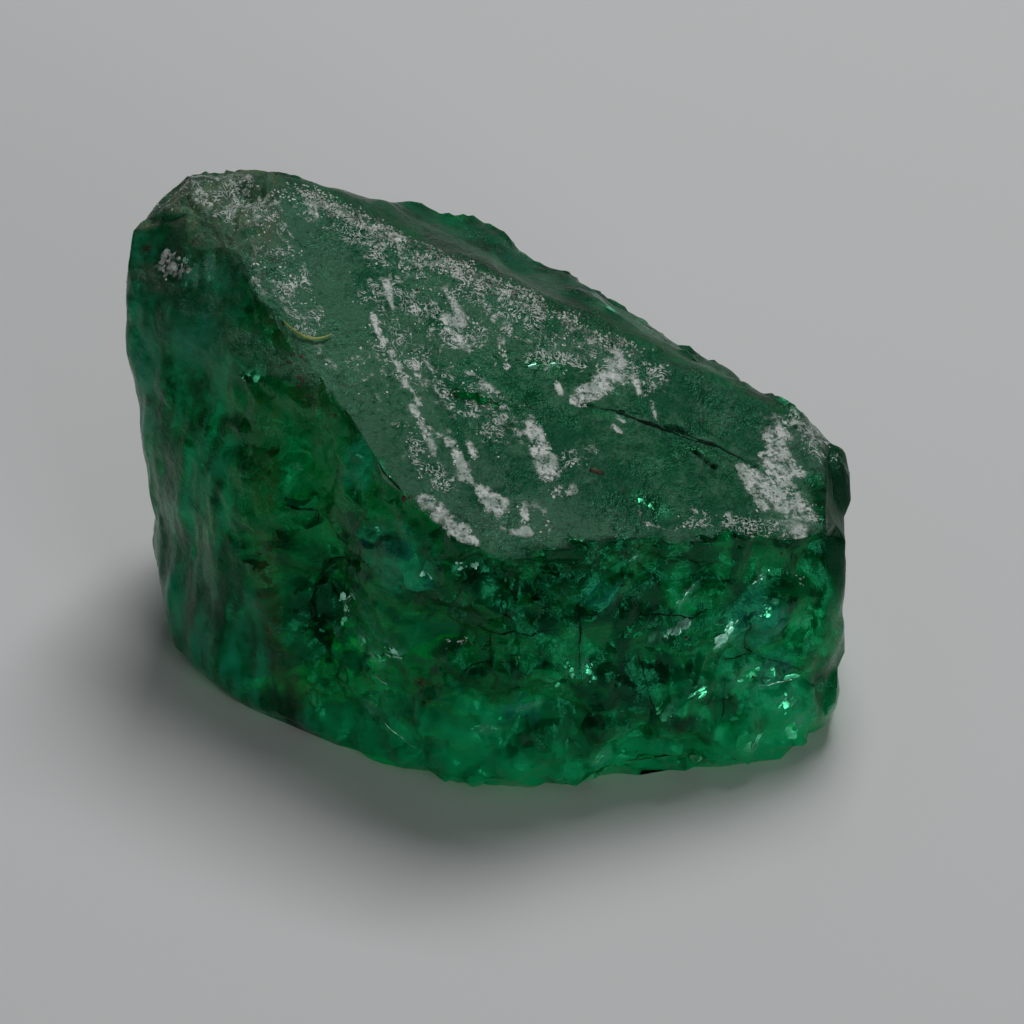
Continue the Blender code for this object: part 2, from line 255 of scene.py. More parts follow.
FRONT_CRACK_LINES = (
    [(2.55, -5.6, 6.3), (2.6, -6.0, 5.6), (2.55, -6.1, 4.9), (2.55, -6.2, 3.8)],
    [(-0.2, -5.9, 5.6), (0.1, -6.1, 5.5), (0.7, -6.3, 5.7), (1.2, -6.2, 5.5), (2.0, -6.1, 5.65)],
    [(0.4, -5.9, 6.6), (0.5, -6.2, 6.25), (0.85, -6.15, 5.9), (1.2, -6.2, 5.5)],
    [(0.1, -6.1, 5.5), (-0.05, -6.1, 4.8)],
    [(4.0, -5.15, 5.85), (4.2, -5.2, 5.3), (4.9, -4.95, 5.15), (5.6, -5.0, 5.05), (5.9, -4.9, 5.25),
     (5.6, -4.7, 5.6)],
    [(7.05, -4.5, 5.25), (7.2, -4.8, 4.55), (7.1, -4.65, 3.65), (7.7, -4.5, 3.1), (8.6, -4.5, 2.85)],
    [(4.1, -5.5, 4.35), (4.3, -5.7, 3.85), (4.4, -5.9, 3.35), (4.0, -6.1, 3.25)],
    [(6.45, -5.2, 3.15), (6.5, -5.35, 2.3), (6.4, -5.6, 1.8)],
    [(4.4, -5.9, 3.3), (4.55, -5.95, 2.7), (4.5, -5.95, 2.2)],
    [(7.15, -4.65, 3.5), (6.5, -5.0, 3.6)],
    [(-0.7, -6.2, 3.9), (-0.55, -6.1, 4.2), (0.0, -6.2, 4.55), (0.7, -6.4, 4.7), (1.15, -6.5, 4.45)])
FRONT_CRACK_WIDTH = 0.04
OLIVE_LINE = [
    (-5.9, -1.5, 9.6), (-6.0, -2.0, 8.0), (-6.1, -2.55, 6.7), (-6.0, -3.0, 5.3), (-6.0, -3.3, 3.8),
    (-5.8, -3.4, 2.0), (-5.1, -4.1, 1.5)]
OLIVE_EDGE = [
    (-5.5, -0.1, 11.4), (-5.1, -0.6, 11.1), (-4.85, -1.3, 10.8), (-4.75, -1.8, 10.5), (-4.4, -2.3, 10.0)]
OLIVE_CAP = [(-8.1, 3.4, 12.9), (-7.9, 2.4, 12.9), (-7.6, 2.0, 12.0)]
LEFT_RIM_LINE = [(-6.4, 2.7, 12.6), (-5.8, 1.2, 12.0), (-4.9, -0.4, 11.2), (-4.2, -1.2, 10.8)]
RIDGE_LINE = [
    (-5.1, 4.2, 12.75), (-2.3, 3.1, 11.75), (0.0, 2.4, 10.95), (2.0, 1.75, 10.25), (4.2, 1.15, 9.55)]
CRISP_CORNER = (9.85, -0.65, 6.75)
FIBRE_PLACES = ((-5.45, -0.15, 11.50), (-4.80, -0.50, 11.20), (-4.15, -0.28, 11.14))
# Dark shade along the cracks, and olive stain along its lines (see shaded).
CRACK_SHADES = ((TOP_CRACK_LINES, 0.80, 0.20, 0.05, 0.05, 3.0, 95),
                ((CRACK_SHADE_LINE,), 0.40, 0.30, 0.05, 0.10, 2.0, 94),
                ((FAINT_CRACK_LINE,), 0.75, 0.24, 0.02, 0.08, 3.0, 96),
                ((HOLLOW_CRACK_LINE,), 0.9, 0.26, 0.0, 0.12, 2.5, 97),
                (FRONT_CRACK_LINES, 0.6, 0.22, 0.0, 0.0, 1.0, 0))
OLIVE_SHADES = (((OLIVE_LINE,), 1.0, 0.62, 0.2, 0.18, 1.3, 93), ((OLIVE_CAP,), 1.0, 1.0, 0.3, 0.2, 1.2, 92))
OLIVE_EDGE_SHADES = (((OLIVE_EDGE,), 1.0, 0.9, 0.2, 0.25, 1.3, 94),)
# White smears on the frosted face: start and end in plan, half width, and how thick the chalk lies (0 to 1).
SMEARS = (
    (-4.75, 3.56, -4.48, 3.01, 0.11, 0.8), (-6.31, 3.27, -6.07, 1.38, 0.29, 0.32),
    (-6.17, 0.99, -5.22, 0.12, 0.19, 0.40), (-5.34, 1.42, -4.9, -0.05, 0.23, 0.32),
    (-4.58, -0.69, -4.06, -1.29, 0.13, 0.5), (-4.23, -0.14, -4.07, -0.28, 0.06, 0.6),
    (-2.75, 1.82, -2.64, 1.48, 0.13, 0.9), (-2.64, 1.3, -2.53, 0.96, 0.11, 0.8),
    (-3.05, 0.55, -2.78, -0.17, 0.13, 0.85), (-2.52, -0.35, -2.36, -0.92, 0.13, 0.7),
    (-2.2, -1.18, -1.73, -1.91, 0.11, 0.9), (-1.94, -0.59, -1.63, -1.35, 0.19, 0.75),
    (-1.58, -0.36, -1.46, -0.6, 0.08, 0.8), (-1.98, -2.03, -1.46, -3.09, 0.13, 0.9),
    (-1.57, -2.64, -1.41, -3.32, 0.14, 0.8), (-1.05, -2.77, -0.48, -3.94, 0.19, 0.8),
    (-0.41, -2.81, -0.3, -3.14, 0.11, 0.9), (-2.37, -3.35, -2.26, -3.5, 0.15, 0.4),
    (-1.12, 1.04, -0.55, 1.05, 0.14, 0.9), (-1.07, 0.81, -0.44, 0.23, 0.13, 0.9),
    (-1.16, 2.0, -0.81, 1.41, 0.21, 0.6), (-2.36, 3.13, -2.31, 2.35, 0.08, 0.8),
    (-2.13, 2.63, -1.5, 2.53, 0.21, 0.5), (0.19, 1.33, 0.24, 1.1, 0.08, 0.7),
    (0.4, 0.53, 0.6, -0.26, 0.13, 0.9), (0.13, 0.23, 0.29, -0.21, 0.08, 0.8),
    (-0.07, -0.77, 0.14, -0.96, 0.15, 0.8), (-0.44, -0.49, -0.21, -0.56, 0.08, 0.6),
    (-0.96, -0.61, -0.89, -0.83, 0.08, 0.6), (-1.91, 1.22, -1.78, 1.01, 0.08, 0.6),
    (-0.95, -1.92, -0.72, -2.22, 0.11, 0.55), (0.4, -1.88, 0.73, -2.14, 0.12, 0.5),
    (1.38, -2.0, 1.69, -3.23, 0.31, 0.9), (-1.55, -4.87, -0.42, -5.79, 0.29, 0.95),
    (-0.12, -4.21, 0.4, -4.57, 0.32, 0.85), (0.32, -4.82, 0.52, -5.13, 0.15, 0.5),
    (1.02, -4.44, 1.12, -5.12, 0.17, 0.85), (0.81, -5.18, 1.33, -5.19, 0.14, 0.6),
    (1.53, -4.56, 1.64, -5.01, 0.25, 0.5), (1.85, -3.79, 2.05, -3.63, 0.14, 0.7),
    (-5.17, 3.77, -4.65, 3.77, 0.15, 0.6), (-5.9, 3.6, -5.39, 3.84, 0.15, 0.5),
    (2.46, -0.84, 3.36, -0.25, 0.2, 0.9), (3.51, 0.72, 3.61, 0.12, 0.23, 0.75),
    (2.34, -0.89, 2.7, -0.95, 0.06, 1.0), (2.24, 1.03, 2.9, 1.23, 0.32, 0.42),
    (1.95, -0.44, 2.04, -0.68, 0.12, 0.85), (4.07, 0.3, 4.21, -0.18, 0.11, 0.75),
    (4.5, 0.77, 4.55, 0.52, 0.09, 0.45), (4.54, -0.4, 4.63, -0.97, 0.08, 0.7),
    (3.59, -1.15, 3.74, -1.22, 0.09, 0.8), (3.48, -1.45, 3.65, -1.56, 0.11, 0.8),
    (2.03, -3.82, 2.36, -3.59, 0.13, 0.6), (1.38, -4.38, 1.68, -4.84, 0.26, 0.45),
    (4.26, -4.18, 4.91, -4.29, 0.05, 0.6), (4.93, -4.3, 5.57, -3.93, 0.05, 0.5),
    (3.91, -3.42, 4.26, -4.16, 0.04, 0.5), (2.67, -2.82, 2.78, -2.88, 0.07, 0.8),
    (7.98, -0.24, 8.64, -0.28, 0.26, 0.6), (7.48, -1.39, 8.06, -1.05, 0.19, 0.85),
    (7.86, -1.41, 8.42, -1.59, 0.36, 0.75), (6.96, -2.02, 7.47, -2.12, 0.2, 1.0),
    (7.18, -2.5, 7.45, -2.95, 0.2, 1.0), (7.66, -2.31, 8.41, -2.45, 0.32, 0.65),
    (8.35, -2.67, 8.82, -3.02, 0.23, 0.7), (8.22, -3.34, 8.55, -3.71, 0.18, 0.95),
    (8.88, -0.44, 9.31, -0.97, 0.21, 0.5), (9.35, -3.09, 9.39, -3.19, 0.12, 0.6),
    (6.47, -3.39, 6.58, -3.58, 0.08, 0.6), (7.9, -0.6, 7.9, -2.4, 0.45, 0.8),
    (7.2, -2.3, 8.5, -2.7, 0.42, 0.8), (8.3, -2.7, 8.4, -3.4, 0.3, 0.8), (2.7, -0.6, 3.5, 0.2, 0.28, 0.8),
    (3.3, 0.0, 3.7, 0.9, 0.30, 0.6), (-8.1, 3.5, -7.5, 2.9, 0.25, 0.4), (-7.2, 4.3, -6.4, 4.1, 0.3, 0.5),
    (-7.9, 4.35, -7.4, 4.2, 0.2, 0.45), (-6.9, 3.2, -6.5, 2.6, 0.25, 0.4), (9.25, 0.1, 9.4, -0.5, 0.07, 0.8),
    (9.42, -0.5, 9.44, -2.7, 0.05, 0.7), (9.3, -2.9, 9.4, -3.2, 0.14, 0.6), (8.9, -1.6, 9.2, -1.5, 0.2, 0.35))
# Fields of worm-like white specks, in the same form.
SPECK_FIELDS = (
    (-5.9, 2.7, -4.9, 0.1, 0.55, 0.9), (-5.2, 3.7, -2.4, 2.9, 0.55, 0.9), (-2.6, 2.6, 1.0, 1.6, 0.75, 0.9),
    (0.7, 0.6, 4.5, 0.4, 0.62, 0.7), (-2.9, 1.2, -0.4, 0.6, 0.8, 0.6), (-2.3, -0.3, 0.3, -1.9, 0.95, 0.6),
    (-1.8, -3.0, -1.2, -4.2, 0.45, 0.7), (-3.4, -1.0, -2.4, -2.6, 0.6, 0.35),
    (5.6, -3.8, 7.8, -3.6, 0.35, 0.8), (1.9, -3.0, 2.8, -2.4, 0.30, 0.6), (8.5, 0.3, 9.3, -0.9, 0.45, 0.9),
    (2.4, 1.2, 4.6, 0.3, 0.5, 0.5), (-8.2, 4.2, -6.4, 3.0, 0.9, 0.7))
# Paler and darker areas of the frosted face, and clear windows in its frosting, in the same form. The first,
# strongest pale area also paints the sheen on the left part of the face.
PALE_AND_SHEEN_AREAS = (
    (-5.3, 2.4, -3.9, -0.7, 1.3, 2.3), (-4.6, -1.2, -2.4, -3.8, 0.8, 1.0), (-1.6, 1.4, -0.4, 0.4, 0.9, 0.7),
    (-2.2, -0.8, -0.9, -4.0, 0.7, 0.8), (-1.4, -5.4, 2.2, -4.6, 0.7, 0.9), (2.3, 0.8, 3.7, 0.0, 0.6, 0.8),
    (7.2, -2.2, 8.8, -3.2, 0.8, 1.0), (7.8, -0.2, 9.2, -1.0, 0.6, 0.8))
DULL_AREAS = (
    (-3.6, 1.5, -3.5, 1.4, 0.55, 1.2), (3.2, -3.0, 6.2, -3.1, 1.2, 0.9), (4.6, 0.2, 7.2, -0.8, 0.9, 0.9),
    (0.3, -2.2, 0.9, -3.6, 0.5, 0.8), (2.2, -2.2, 5.0, -2.6, 1.0, 0.8), (-0.4, 0.2, 1.0, -0.9, 0.5, 0.5),
    (5.3, -1.85, 5.7, -2.6, 0.18, 1.3), (0.5, -2.3, 0.7, -2.4, 0.3, 1.2), (-3.9, 2.9, -3.0, 0.4, 0.5, 0.5))
CLEAR_WINDOWS = (
    (4.15, -3.45, 4.75, -3.65, 0.26, 0.8), (8.95, -1.85, 9.12, -2.95, 0.26, 0.95),
    (3.0, -1.1, 3.8, -1.15, 0.12, 0.4), (5.3, -1.6, 6.1, -1.8, 0.14, 0.4), (1.25, 0.05, 2.0, 0.15, 0.22, 0.7))
# Round spots: centre, radius.
RUST_SPOTS = (
    ((-5.25, -0.9, 10.9), 0.22), ((-5.0, -1.2, 10.8), 0.26), ((-4.8, -1.6, 10.6), 0.24),
    ((-4.6, -2.0, 10.3), 0.32), ((-4.2, -2.4, 10.3), 0.26), ((-1.75, -5.75, 3.3), 0.42),
    ((-1.6, -6.0, 2.9), 0.30), ((-5.95, -3.35, 3.3), 0.24), ((-9.25, 2.7, 11.7), 0.22),
    ((-8.35, 2.2, 11.9), 0.22), (on_top(-2.07, -4.81), 0.20), (on_top(0.55, -2.05), 0.22),
    (on_top(-4.4, -1.0), 0.30))
TEAL_SPOTS = (
    ((-9.6, 1.3, 8.8), 1.3), ((-9.5, 0.9, 7.2), 1.0), ((-3.4, -3.6, 9.4), 0.8), ((-2.4, -5.0, 7.2), 1.3),
    ((0.9, -6.2, 2.8), 0.7), ((7.4, -4.5, 4.6), 1.1), ((3.1, -5.4, 6.3), 0.5), ((8.0, -4.6, 2.8), 0.7),
    ((3.3, 4.2, 9.3), 0.9), ((1.0, 5.2, 9.9), 0.8), ((-7.7, 0.8, 10.2), 1.2), ((-1.6, -5.4, 6.9), 0.6))
GRIT_SPOTS = (
    ((-5.2, -1.0, 10.85), 0.30), ((-4.8, -1.5, 10.7), 0.34), ((-4.65, -2.0, 10.3), 0.30),
    ((-4.1, -2.4, 10.3), 0.24), ((-1.75, -5.75, 3.3), 0.34), ((-1.6, -6.0, 2.95), 0.28),
    ((-5.95, -3.35, 3.3), 0.22), ((-9.25, 2.7, 11.7), 0.20), ((-8.35, 2.2, 11.9), 0.20),
    (on_top(3.0, -2.9), 0.16), ((-2.1, -4.7, 9.1), 0.2))
CLUSTER_PLACE = (((-8.7, 2.3, 11.5), 0.42), ((-8.3, 2.0, 11.6), 0.34))
# Painted highlights: bright soft patches where broken stone inside catches the light.
PAINTED_GLINT_PATCHES = (
    ((6.47, -5.05, 4.44), 0.52), ((5.11, -5.11, 4.67), 0.36), ((4.46, -5.21, 4.65), 0.20),
    ((7.72, -4.38, 4.94), 0.25), ((7.49, -4.75, 2.73), 0.42), ((8.30, -4.55, 2.50), 0.36),
    ((7.23, -5.71, 1.13), 0.45), ((-3.26, -4.33, 3.63), 0.28), ((-2.95, -4.95, 3.60), 0.26),
    ((-3.00, -4.89, 1.80), 0.36), ((-1.64, -5.45, 6.95), 0.24), ((-0.56, -5.67, 7.39), 0.28),
    ((-3.78, -3.62, 4.50), 0.34), ((8.70, -4.14, 4.19), 0.25), ((-3.90, -3.60, 3.75), 0.22))
# Places painted brighter or darker inside the stone: painted light where light comes through near the foot and
# front, painted shade in the hollow, under the top's front edge and on the right end; centre, radius, change.
PAINTED_LIGHT_AND_SHADE_SPOTS = (
    ((7.5, -5.2, 2.0), 2.5, 0.42), ((8.6, -4.6, 3.6), 1.6, 0.15), ((4.0, -6.0, 1.2), 1.6, 0.12),
    ((0.4, -6.4, 1.6), 2.2, 0.30), ((-3.3, -4.3, 4.0), 1.2, 0.18), ((-7.2, -1.9, 1.6), 1.8, 0.10),
    ((2.3, -6.4, 4.1), 1.0, 0.14), ((-5.1, -3.0, 5.6), 1.2, -0.34), ((-4.9, -3.5, 4.0), 0.9, -0.28),
    ((-3.4, -4.1, 7.3), 1.6, -0.22), ((-2.6, -5.1, 7.6), 1.5, -0.18), ((0.3, -6.4, 3.9), 0.9, -0.14),
    ((2.0, -5.4, 7.3), 2.0, -0.14), ((5.5, -4.6, 6.6), 2.2, -0.10), ((9.8, -1.9, 6.0), 2.4, -0.60),
    ((-7.9, 0.6, 11.0), 1.3, -0.06), ((3.3, -6.0, 3.9), 1.5, -0.30), ((-8.9, 1.6, 9.4), 1.6, 0.10),
    ((-1.3, -5.9, 2.2), 1.4, 0.20), ((-3.2, -4.8, 3.0), 1.5, 0.22), ((7.8, -4.95, 2.0), 0.7, 0.32),
    ((8.3, -5.1, 1.2), 0.6, 0.28), ((5.9, -4.3, 6.4), 1.0, -0.26), ((4.9, -5.5, 3.6), 0.5, -0.30),
    ((7.5, -5.3, 1.6), 0.4, -0.30), ((5.4, -6.0, 2.1), 0.5, -0.26), ((8.8, -4.4, 3.2), 0.45, -0.26),
    ((4.2, -6.0, 3.2), 0.55, -0.24), ((-0.9, 5.7, 10.2), 0.9, 0.45), ((0.8, 5.7, 9.5), 0.8, 0.35),
    ((2.0, 4.2, 9.5), 0.7, 0.25), ((3.0, 2.8, 9.6), 0.5, 0.5))
# Bright fractures, as streaks: start, end, half width. The first group is whitish, the second green. Along
# each, the skin's colour also carries a painted highlight.
WHITE_STREAKS = (
    ((6.28, -5.13, 4.19), (6.66, -4.91, 4.67), 0.20), ((4.95, -5.15, 4.6), (5.4, -5.05, 4.9), 0.14),
    ((5.15, -4.8, 5.4), (5.7, -4.55, 5.9), 0.07), ((7.2, -4.2, 5.6), (7.75, -3.85, 5.75), 0.06),
    ((-3.75, -3.65, 4.85), (-3.90, -3.61, 4.0), 0.16), ((-2.75, -5.1, 4.1), (-2.3, -5.35, 4.0), 0.13),
    ((-7.45, 1.95, 12.25), (-7.45, 1.4, 11.7), 0.10), ((-7.86, 1.8, 11.95), (-7.86, 1.45, 11.5), 0.07),
    (on_top(1.15, -0.1), on_top(2.1, 0.2), 0.13), ((-1.65, -5.4, 7.0), (-1.45, -5.5, 6.8), 0.10),
    ((-8.15, 2.2, 12.3), (-8.1, 1.6, 11.5), 0.10), ((3.8, -4.7, 7.0), (4.05, -4.65, 7.05), 0.08),
    ((-0.75, -5.7, 7.5), (-0.1, -5.6, 7.4), 0.09))
GREEN_STREAKS = (
    ((-3.88, -3.61, 4.0), (-4.0, -3.62, 3.6), 0.14), ((-3.4, -4.1, 3.66), (-2.89, -5.05, 3.61), 0.18),
    ((-6.42, -1.0, 10.12), (-6.22, -1.03, 10.3), 0.20), ((-9.0, 0.9, 9.0), (-9.0, 0.7, 8.6), 0.05),
    ((2.2, -6.4, 4.7), (2.3, -6.4, 4.2), 0.08), ((1.7, -6.5, 4.1), (1.95, -6.45, 3.8), 0.10),
    ((2.75, -6.1, 4.4), (2.9, -6.15, 3.9), 0.09), ((-0.3, -6.4, 2.25), (0.4, -6.4, 2.4), 0.10),
    ((0.4, -6.2, 2.6), (1.5, -6.2, 3.05), 0.06), ((5.6, -5.75, 3.0), (5.9, -5.7, 3.15), 0.14),
    ((6.9, -4.9, 2.95), (8.4, -4.5, 2.75), 0.18), ((8.1, -4.9, 1.8), (8.4, -4.85, 2.1), 0.22),
    ((7.0, -5.7, 1.0), (7.7, -5.6, 1.25), 0.16), ((8.3, -5.1, 0.9), (8.6, -5.0, 1.3), 0.14),
    ((4.8, -6.0, 2.4), (5.2, -5.95, 2.8), 0.16), ((2.8, -6.2, 0.8), (3.3, -6.2, 1.1), 0.12),
    (on_top(4.2, -3.55), on_top(4.65, -3.65), 0.08), ((7.5, -4.45, 4.8), (7.9, -4.35, 5.0), 0.12),
    ((-5.1, -2.15, 8.1), (-4.95, -2.2, 8.0), 0.06), ((-2.95, -4.5, 7.8), (-2.8, -4.6, 7.65), 0.06),
    ((3.1, 3.0, 9.35), (3.5, 2.9, 9.2), 0.12))
# Fine bright lines where a fracture's edge catches the light, and how wide each is.
BRIGHT_LINES = (
    [(-3.55, -3.99, 4.85), (-3.71, -3.71, 4.86), (-3.80, -3.61, 4.52), (-3.86, -3.61, 4.09),
     (-3.98, -3.61, 3.66)],
    [(-3.48, -3.96, 3.67), (-3.26, -4.33, 3.63), (-3.14, -4.68, 3.58), (-2.89, -5.05, 3.61)],
    [(-2.72, -5.19, 1.70), (-2.50, -5.42, 1.46), (-2.23, -5.65, 1.15), (-1.96, -5.77, 1.05)],
    [(-3.15, -4.93, 3.07), (-2.71, -5.27, 2.93), (-2.71, -5.31, 2.61)],
    [(5.16, -4.77, 5.45), (5.59, -4.58, 5.85)],
    [(7.23, -4.15, 5.63), (7.56, -3.95, 5.64)],
    [(7.35, -4.93, 2.53), (7.77, -4.67, 2.48), (8.10, -4.63, 2.44), (8.65, -4.46, 2.59)])
BRIGHT_WIDTHS = (0.060, 0.050, 0.030, 0.025, 0.040, 0.030, 0.050)


# ---- reading and writing meshes
def linked(name, data):
    """A new object in the scene."""
    obj = bpy.data.objects.new(name, data)
    bpy.context.scene.collection.objects.link(obj)
    return obj


def read(items, name, width, kind=float):
    """One property of every item, a row each."""
    values = np.empty(len(items) * width, dtype=kind)
    items.foreach_get(name, values)
    return values.reshape(-1, width)


def store(mesh, name, values, domain="POINT"):
    """Keep one value per vertex, or per edge, for the material or the refining to read."""
    mesh.attributes.new(name, "FLOAT", domain).data.foreach_set("value", values.astype(np.float32))


def shade_smooth(mesh, smooth):
    """Shade every face of the mesh smooth or flat."""
    mesh.polygons.foreach_set("use_smooth", np.full(len(mesh.polygons), smooth))


def vertex_arrays(mesh):
    """Places in mm from the setting-out point, and outward directions, of all vertices."""
    return read(mesh.vertices, "co", 3) / MM - SETTING_OUT, read(mesh.vertices, "normal", 3)


def triangle_corners(mesh):
    """The three vertex numbers of every triangle."""
    mesh.calc_loop_triangles()
    return read(mesh.loop_triangles, "vertices", 3, np.int32)


def face_angles(mesh):
    """Angle in degrees between the two faces at every edge, from the faces' normals in edge order."""
    edges = read(mesh.loops, "edge_index", 1, np.int32).ravel()
    sizes = read(mesh.polygons, "loop_total", 1, np.int32).ravel()
    normals = read(mesh.polygons, "normal", 3)
    face_of_corner = np.repeat(np.arange(len(mesh.polygons)), sizes)
    pairs = face_of_corner[np.argsort(edges, kind="stable")].reshape(-1, 2)
    cosine = (normals[pairs[:, 0]] * normals[pairs[:, 1]]).sum(1)
    return np.degrees(np.arccos(np.clip(cosine, -1.0, 1.0)))


def finished_piece(name, points, faces, material):
    """Numbered triangles as a piece that rides with the crystal. Points are mm from the setting-out point."""
    mesh = bpy.data.meshes.new(name)
    mesh.from_pydata(((points + SETTING_OUT) * MM).tolist(), [], faces.tolist())
    shade_smooth(mesh, True)
    mesh.materials.append(material)
    mesh.update()
    obj = linked(name, mesh)
    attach(obj, "root")
    return obj


# ---- the crystal's skin
def merged_copy(node):
    """The node's triangles as one joined mesh, with sharp edges creased by the angle between faces."""
    bm = bmesh.new()
    bm.from_mesh(node.data)
    bmesh.ops.remove_doubles(bm, verts=bm.verts[:], dist=1e-6)
    mesh = bpy.data.meshes.new("crystal_skin")
    bm.to_mesh(mesh)
    bm.free()
    store(mesh, "crease_edge", step(*CREASE_ANGLES, face_angles(mesh)), "EDGE")
    return mesh


def refined(mesh, levels):
    """The mesh after that many rounds of subdivision."""
    holder = linked("crystal_form", mesh)
    rounds = holder.modifiers.new("refine", "SUBSURF")
    rounds.levels = levels
    rounds.render_levels = levels
    depsgraph = bpy.context.evaluated_depsgraph_get()
    fine = bpy.data.meshes.new_from_object(holder.evaluated_get(depsgraph))
    bpy.data.objects.remove(holder, do_unlink=True)
    return fine


def top_height(p):
    """Frosted face: soft swells, broken ledges, small facets and scattered pits."""
    swell = 0.035 * layered(p * 0.8, 21, 3)
    ledge_noise = 4.0 * layered(p * np.array((0.55, 0.9, 0.2)), 24, 2)
    ledges = 0.03 * (np.floor(ledge_noise) + step(0.75, 1.0, ledge_noise % 1.0)) / 4.0
    facets, _ = broken_facets(p, 0.5, 27)
    near, _, _, owner = pieces_of(p / 0.9, 33)
    pits = step(0.34, 0.10, near) * step(0.62, 0.75, lattice_number(owner, 35))
    rough_strip = step(0.9, 0.1, near_line(p, LEFT_RIM_LINE)) + step(0.7, 0.1, near_line(p, RIDGE_LINE))
    crumbly, _ = broken_facets(p, 0.34, 37)
    grain = 0.016 * layered(p * 4.5, 29, 3)
    return swell + ledges + 0.035 * facets + grain - 0.07 * pits + 0.09 * rough_strip * crumbly


def band_height(p):
    """Back band: low long swells and fine grain."""
    return 0.08 * layered(p * 0.7, 41, 3) + 0.012 * layered(p * 3.5, 43, 2)


def cap_height(p):
    """Weathered cap: rounded lumps and crumbly grain."""
    near, second, _, _ = pieces_of(p / 0.75, 53)
    facets, _ = broken_facets(p, 0.45, 57)
    return (0.16 * layered(p * 1.1, 51, 3) + 0.10 * step(0.0, 0.4, second - near) + 0.14 * facets
            + 0.03 * layered(p * 4.0, 55, 2))


def left_height(p):
    """Left prism face: steep striations along the prism axis, stepped and broken."""
    across = (p[:, 0] * 0.55 - p[:, 1] * 0.83 + 0.072 * p[:, 2]
              + 0.10 * cloud(p * np.array((0.6, 0.6, 0.22)), 61))
    rise = np.zeros(len(p))
    for pitch, strength, seed in ((1.1, 0.10, 63), (0.43, 0.06, 65), (0.21, 0.03, 67)):
        line = np.stack([across / pitch, 0.16 * p[:, 2] / pitch, np.full(len(p), 0.5)], 1)
        rise += strength * cloud(line, seed)
    facets, _ = broken_facets(p * np.array((1.0, 1.0, 0.45)), 0.9, 69)
    return rise + 0.06 * facets + 0.014 * layered(p * 3.5, 71, 2)


def glassy_height(p):
    """Glassy broken faces: domed lumps with grooves between, crossed by small tilted facets."""
    warp = 0.35 * cloud_shift(p * 0.8, 81)
    near, second, _, _ = pieces_of((p + warp) / 1.5, 85)
    domes = 0.16 * step(0.0, 0.5, second - near) - 0.05
    large, _ = broken_facets(p + warp, 1.9, 84)
    facets, facet_edge = broken_facets(p + warp * 0.5, 0.8, 87)
    fine = 0.015 * layered(p * 3.0, 89, 2)
    return domes + 0.16 * large + 0.15 * facets + fine - 0.02 * step(0.08, 0.0, facet_edge)


def natural_height(p, n, zone):
    """Whole relief in mm. It fades out at the smooth right end and towards the flat parting face."""
    glassy = np.clip(1.0 - zone["up"] - zone["left"], 0.0, 1.0)
    height = zone["top"] * top_height(p) + zone["band"] * band_height(p) + zone["cap"] * cap_height(p)
    height += zone["left"] * left_height(p) + glassy * glassy_height(p)
    for line in TOP_CRACK_LINES:
        height -= 0.03 * step(0.12, 0.0, near_line(p, line)) * zone["up"]
    height -= 0.18 * step(0.25, 0.0, near_line(p, HOLLOW_CRACK_LINE) + 0.1 * cloud(p * 2.0, 91))
    height *= 1.0 - 0.85 * step(0.25, 0.65, n[:, 0]) * step(8.6, 9.3, p[:, 0])
    return height * step(0.05, 0.35, p[:, 2]) * step(-0.93, -0.80, n[:, 2])


def skin_places(p, n, zone):
    """The raised skin. The groove along the main crack is brought up to a narrow cleft in the top's
    plane, the corner of the low end is drawn up, and nothing goes below the parting face."""
    place = p + n * natural_height(p, n, zone)[:, None]
    cleft = step(0.11, 0.0, np.min([near_line(p, line) for line in TOP_CRACK_LINES], axis=0))
    level = frosted_level(p[:, 0], p[:, 1]) - 0.02 - 0.16 * cleft
    place[:, 2] += step(0.40, 0.30, near_line(p, TOP_GROOVE)) * np.maximum(level - place[:, 2], 0.0)
    place[:, 2] += 0.33 * step(0.9, 0.1, spot_gap(p, CRISP_CORNER, 1.0))
    place[:, 2] = np.maximum(place[:, 2], 0.0)
    return place


def broken_share(p, zone):
    """How much the stone is broken up inside: most at the front right, least on the left face."""
    return (1.0 - 0.75 * zone["left"]) * (0.58 + 0.42 * step(-0.5, 3.5, p[:, 0]))


def streaks_of(p):
    """Long soft streaks up the stone: layered clouds drawn out five times in height."""
    return layered(p * np.array((1.4, 1.4, 0.28)), 86, 5, 0.75)


def piece_glow(p, seed, tone, tilt):
    """Brightness of broken pieces: each has its own tone, a painted slope of light and shade across it in its
    own direction, and a dark seam along its edge."""
    near, second, offset, owner = pieces_of(p, seed)
    chance = [lattice_number(owner, seed + 1 + k) - 0.5 for k in range(4)]
    seam = 0.24 * step(0.14, 0.0, second - near) * step(-0.1, 0.3, chance[3])
    return tone * chance[3] + tilt * sum(offset[:, k] * chance[k] for k in range(3)) - seam


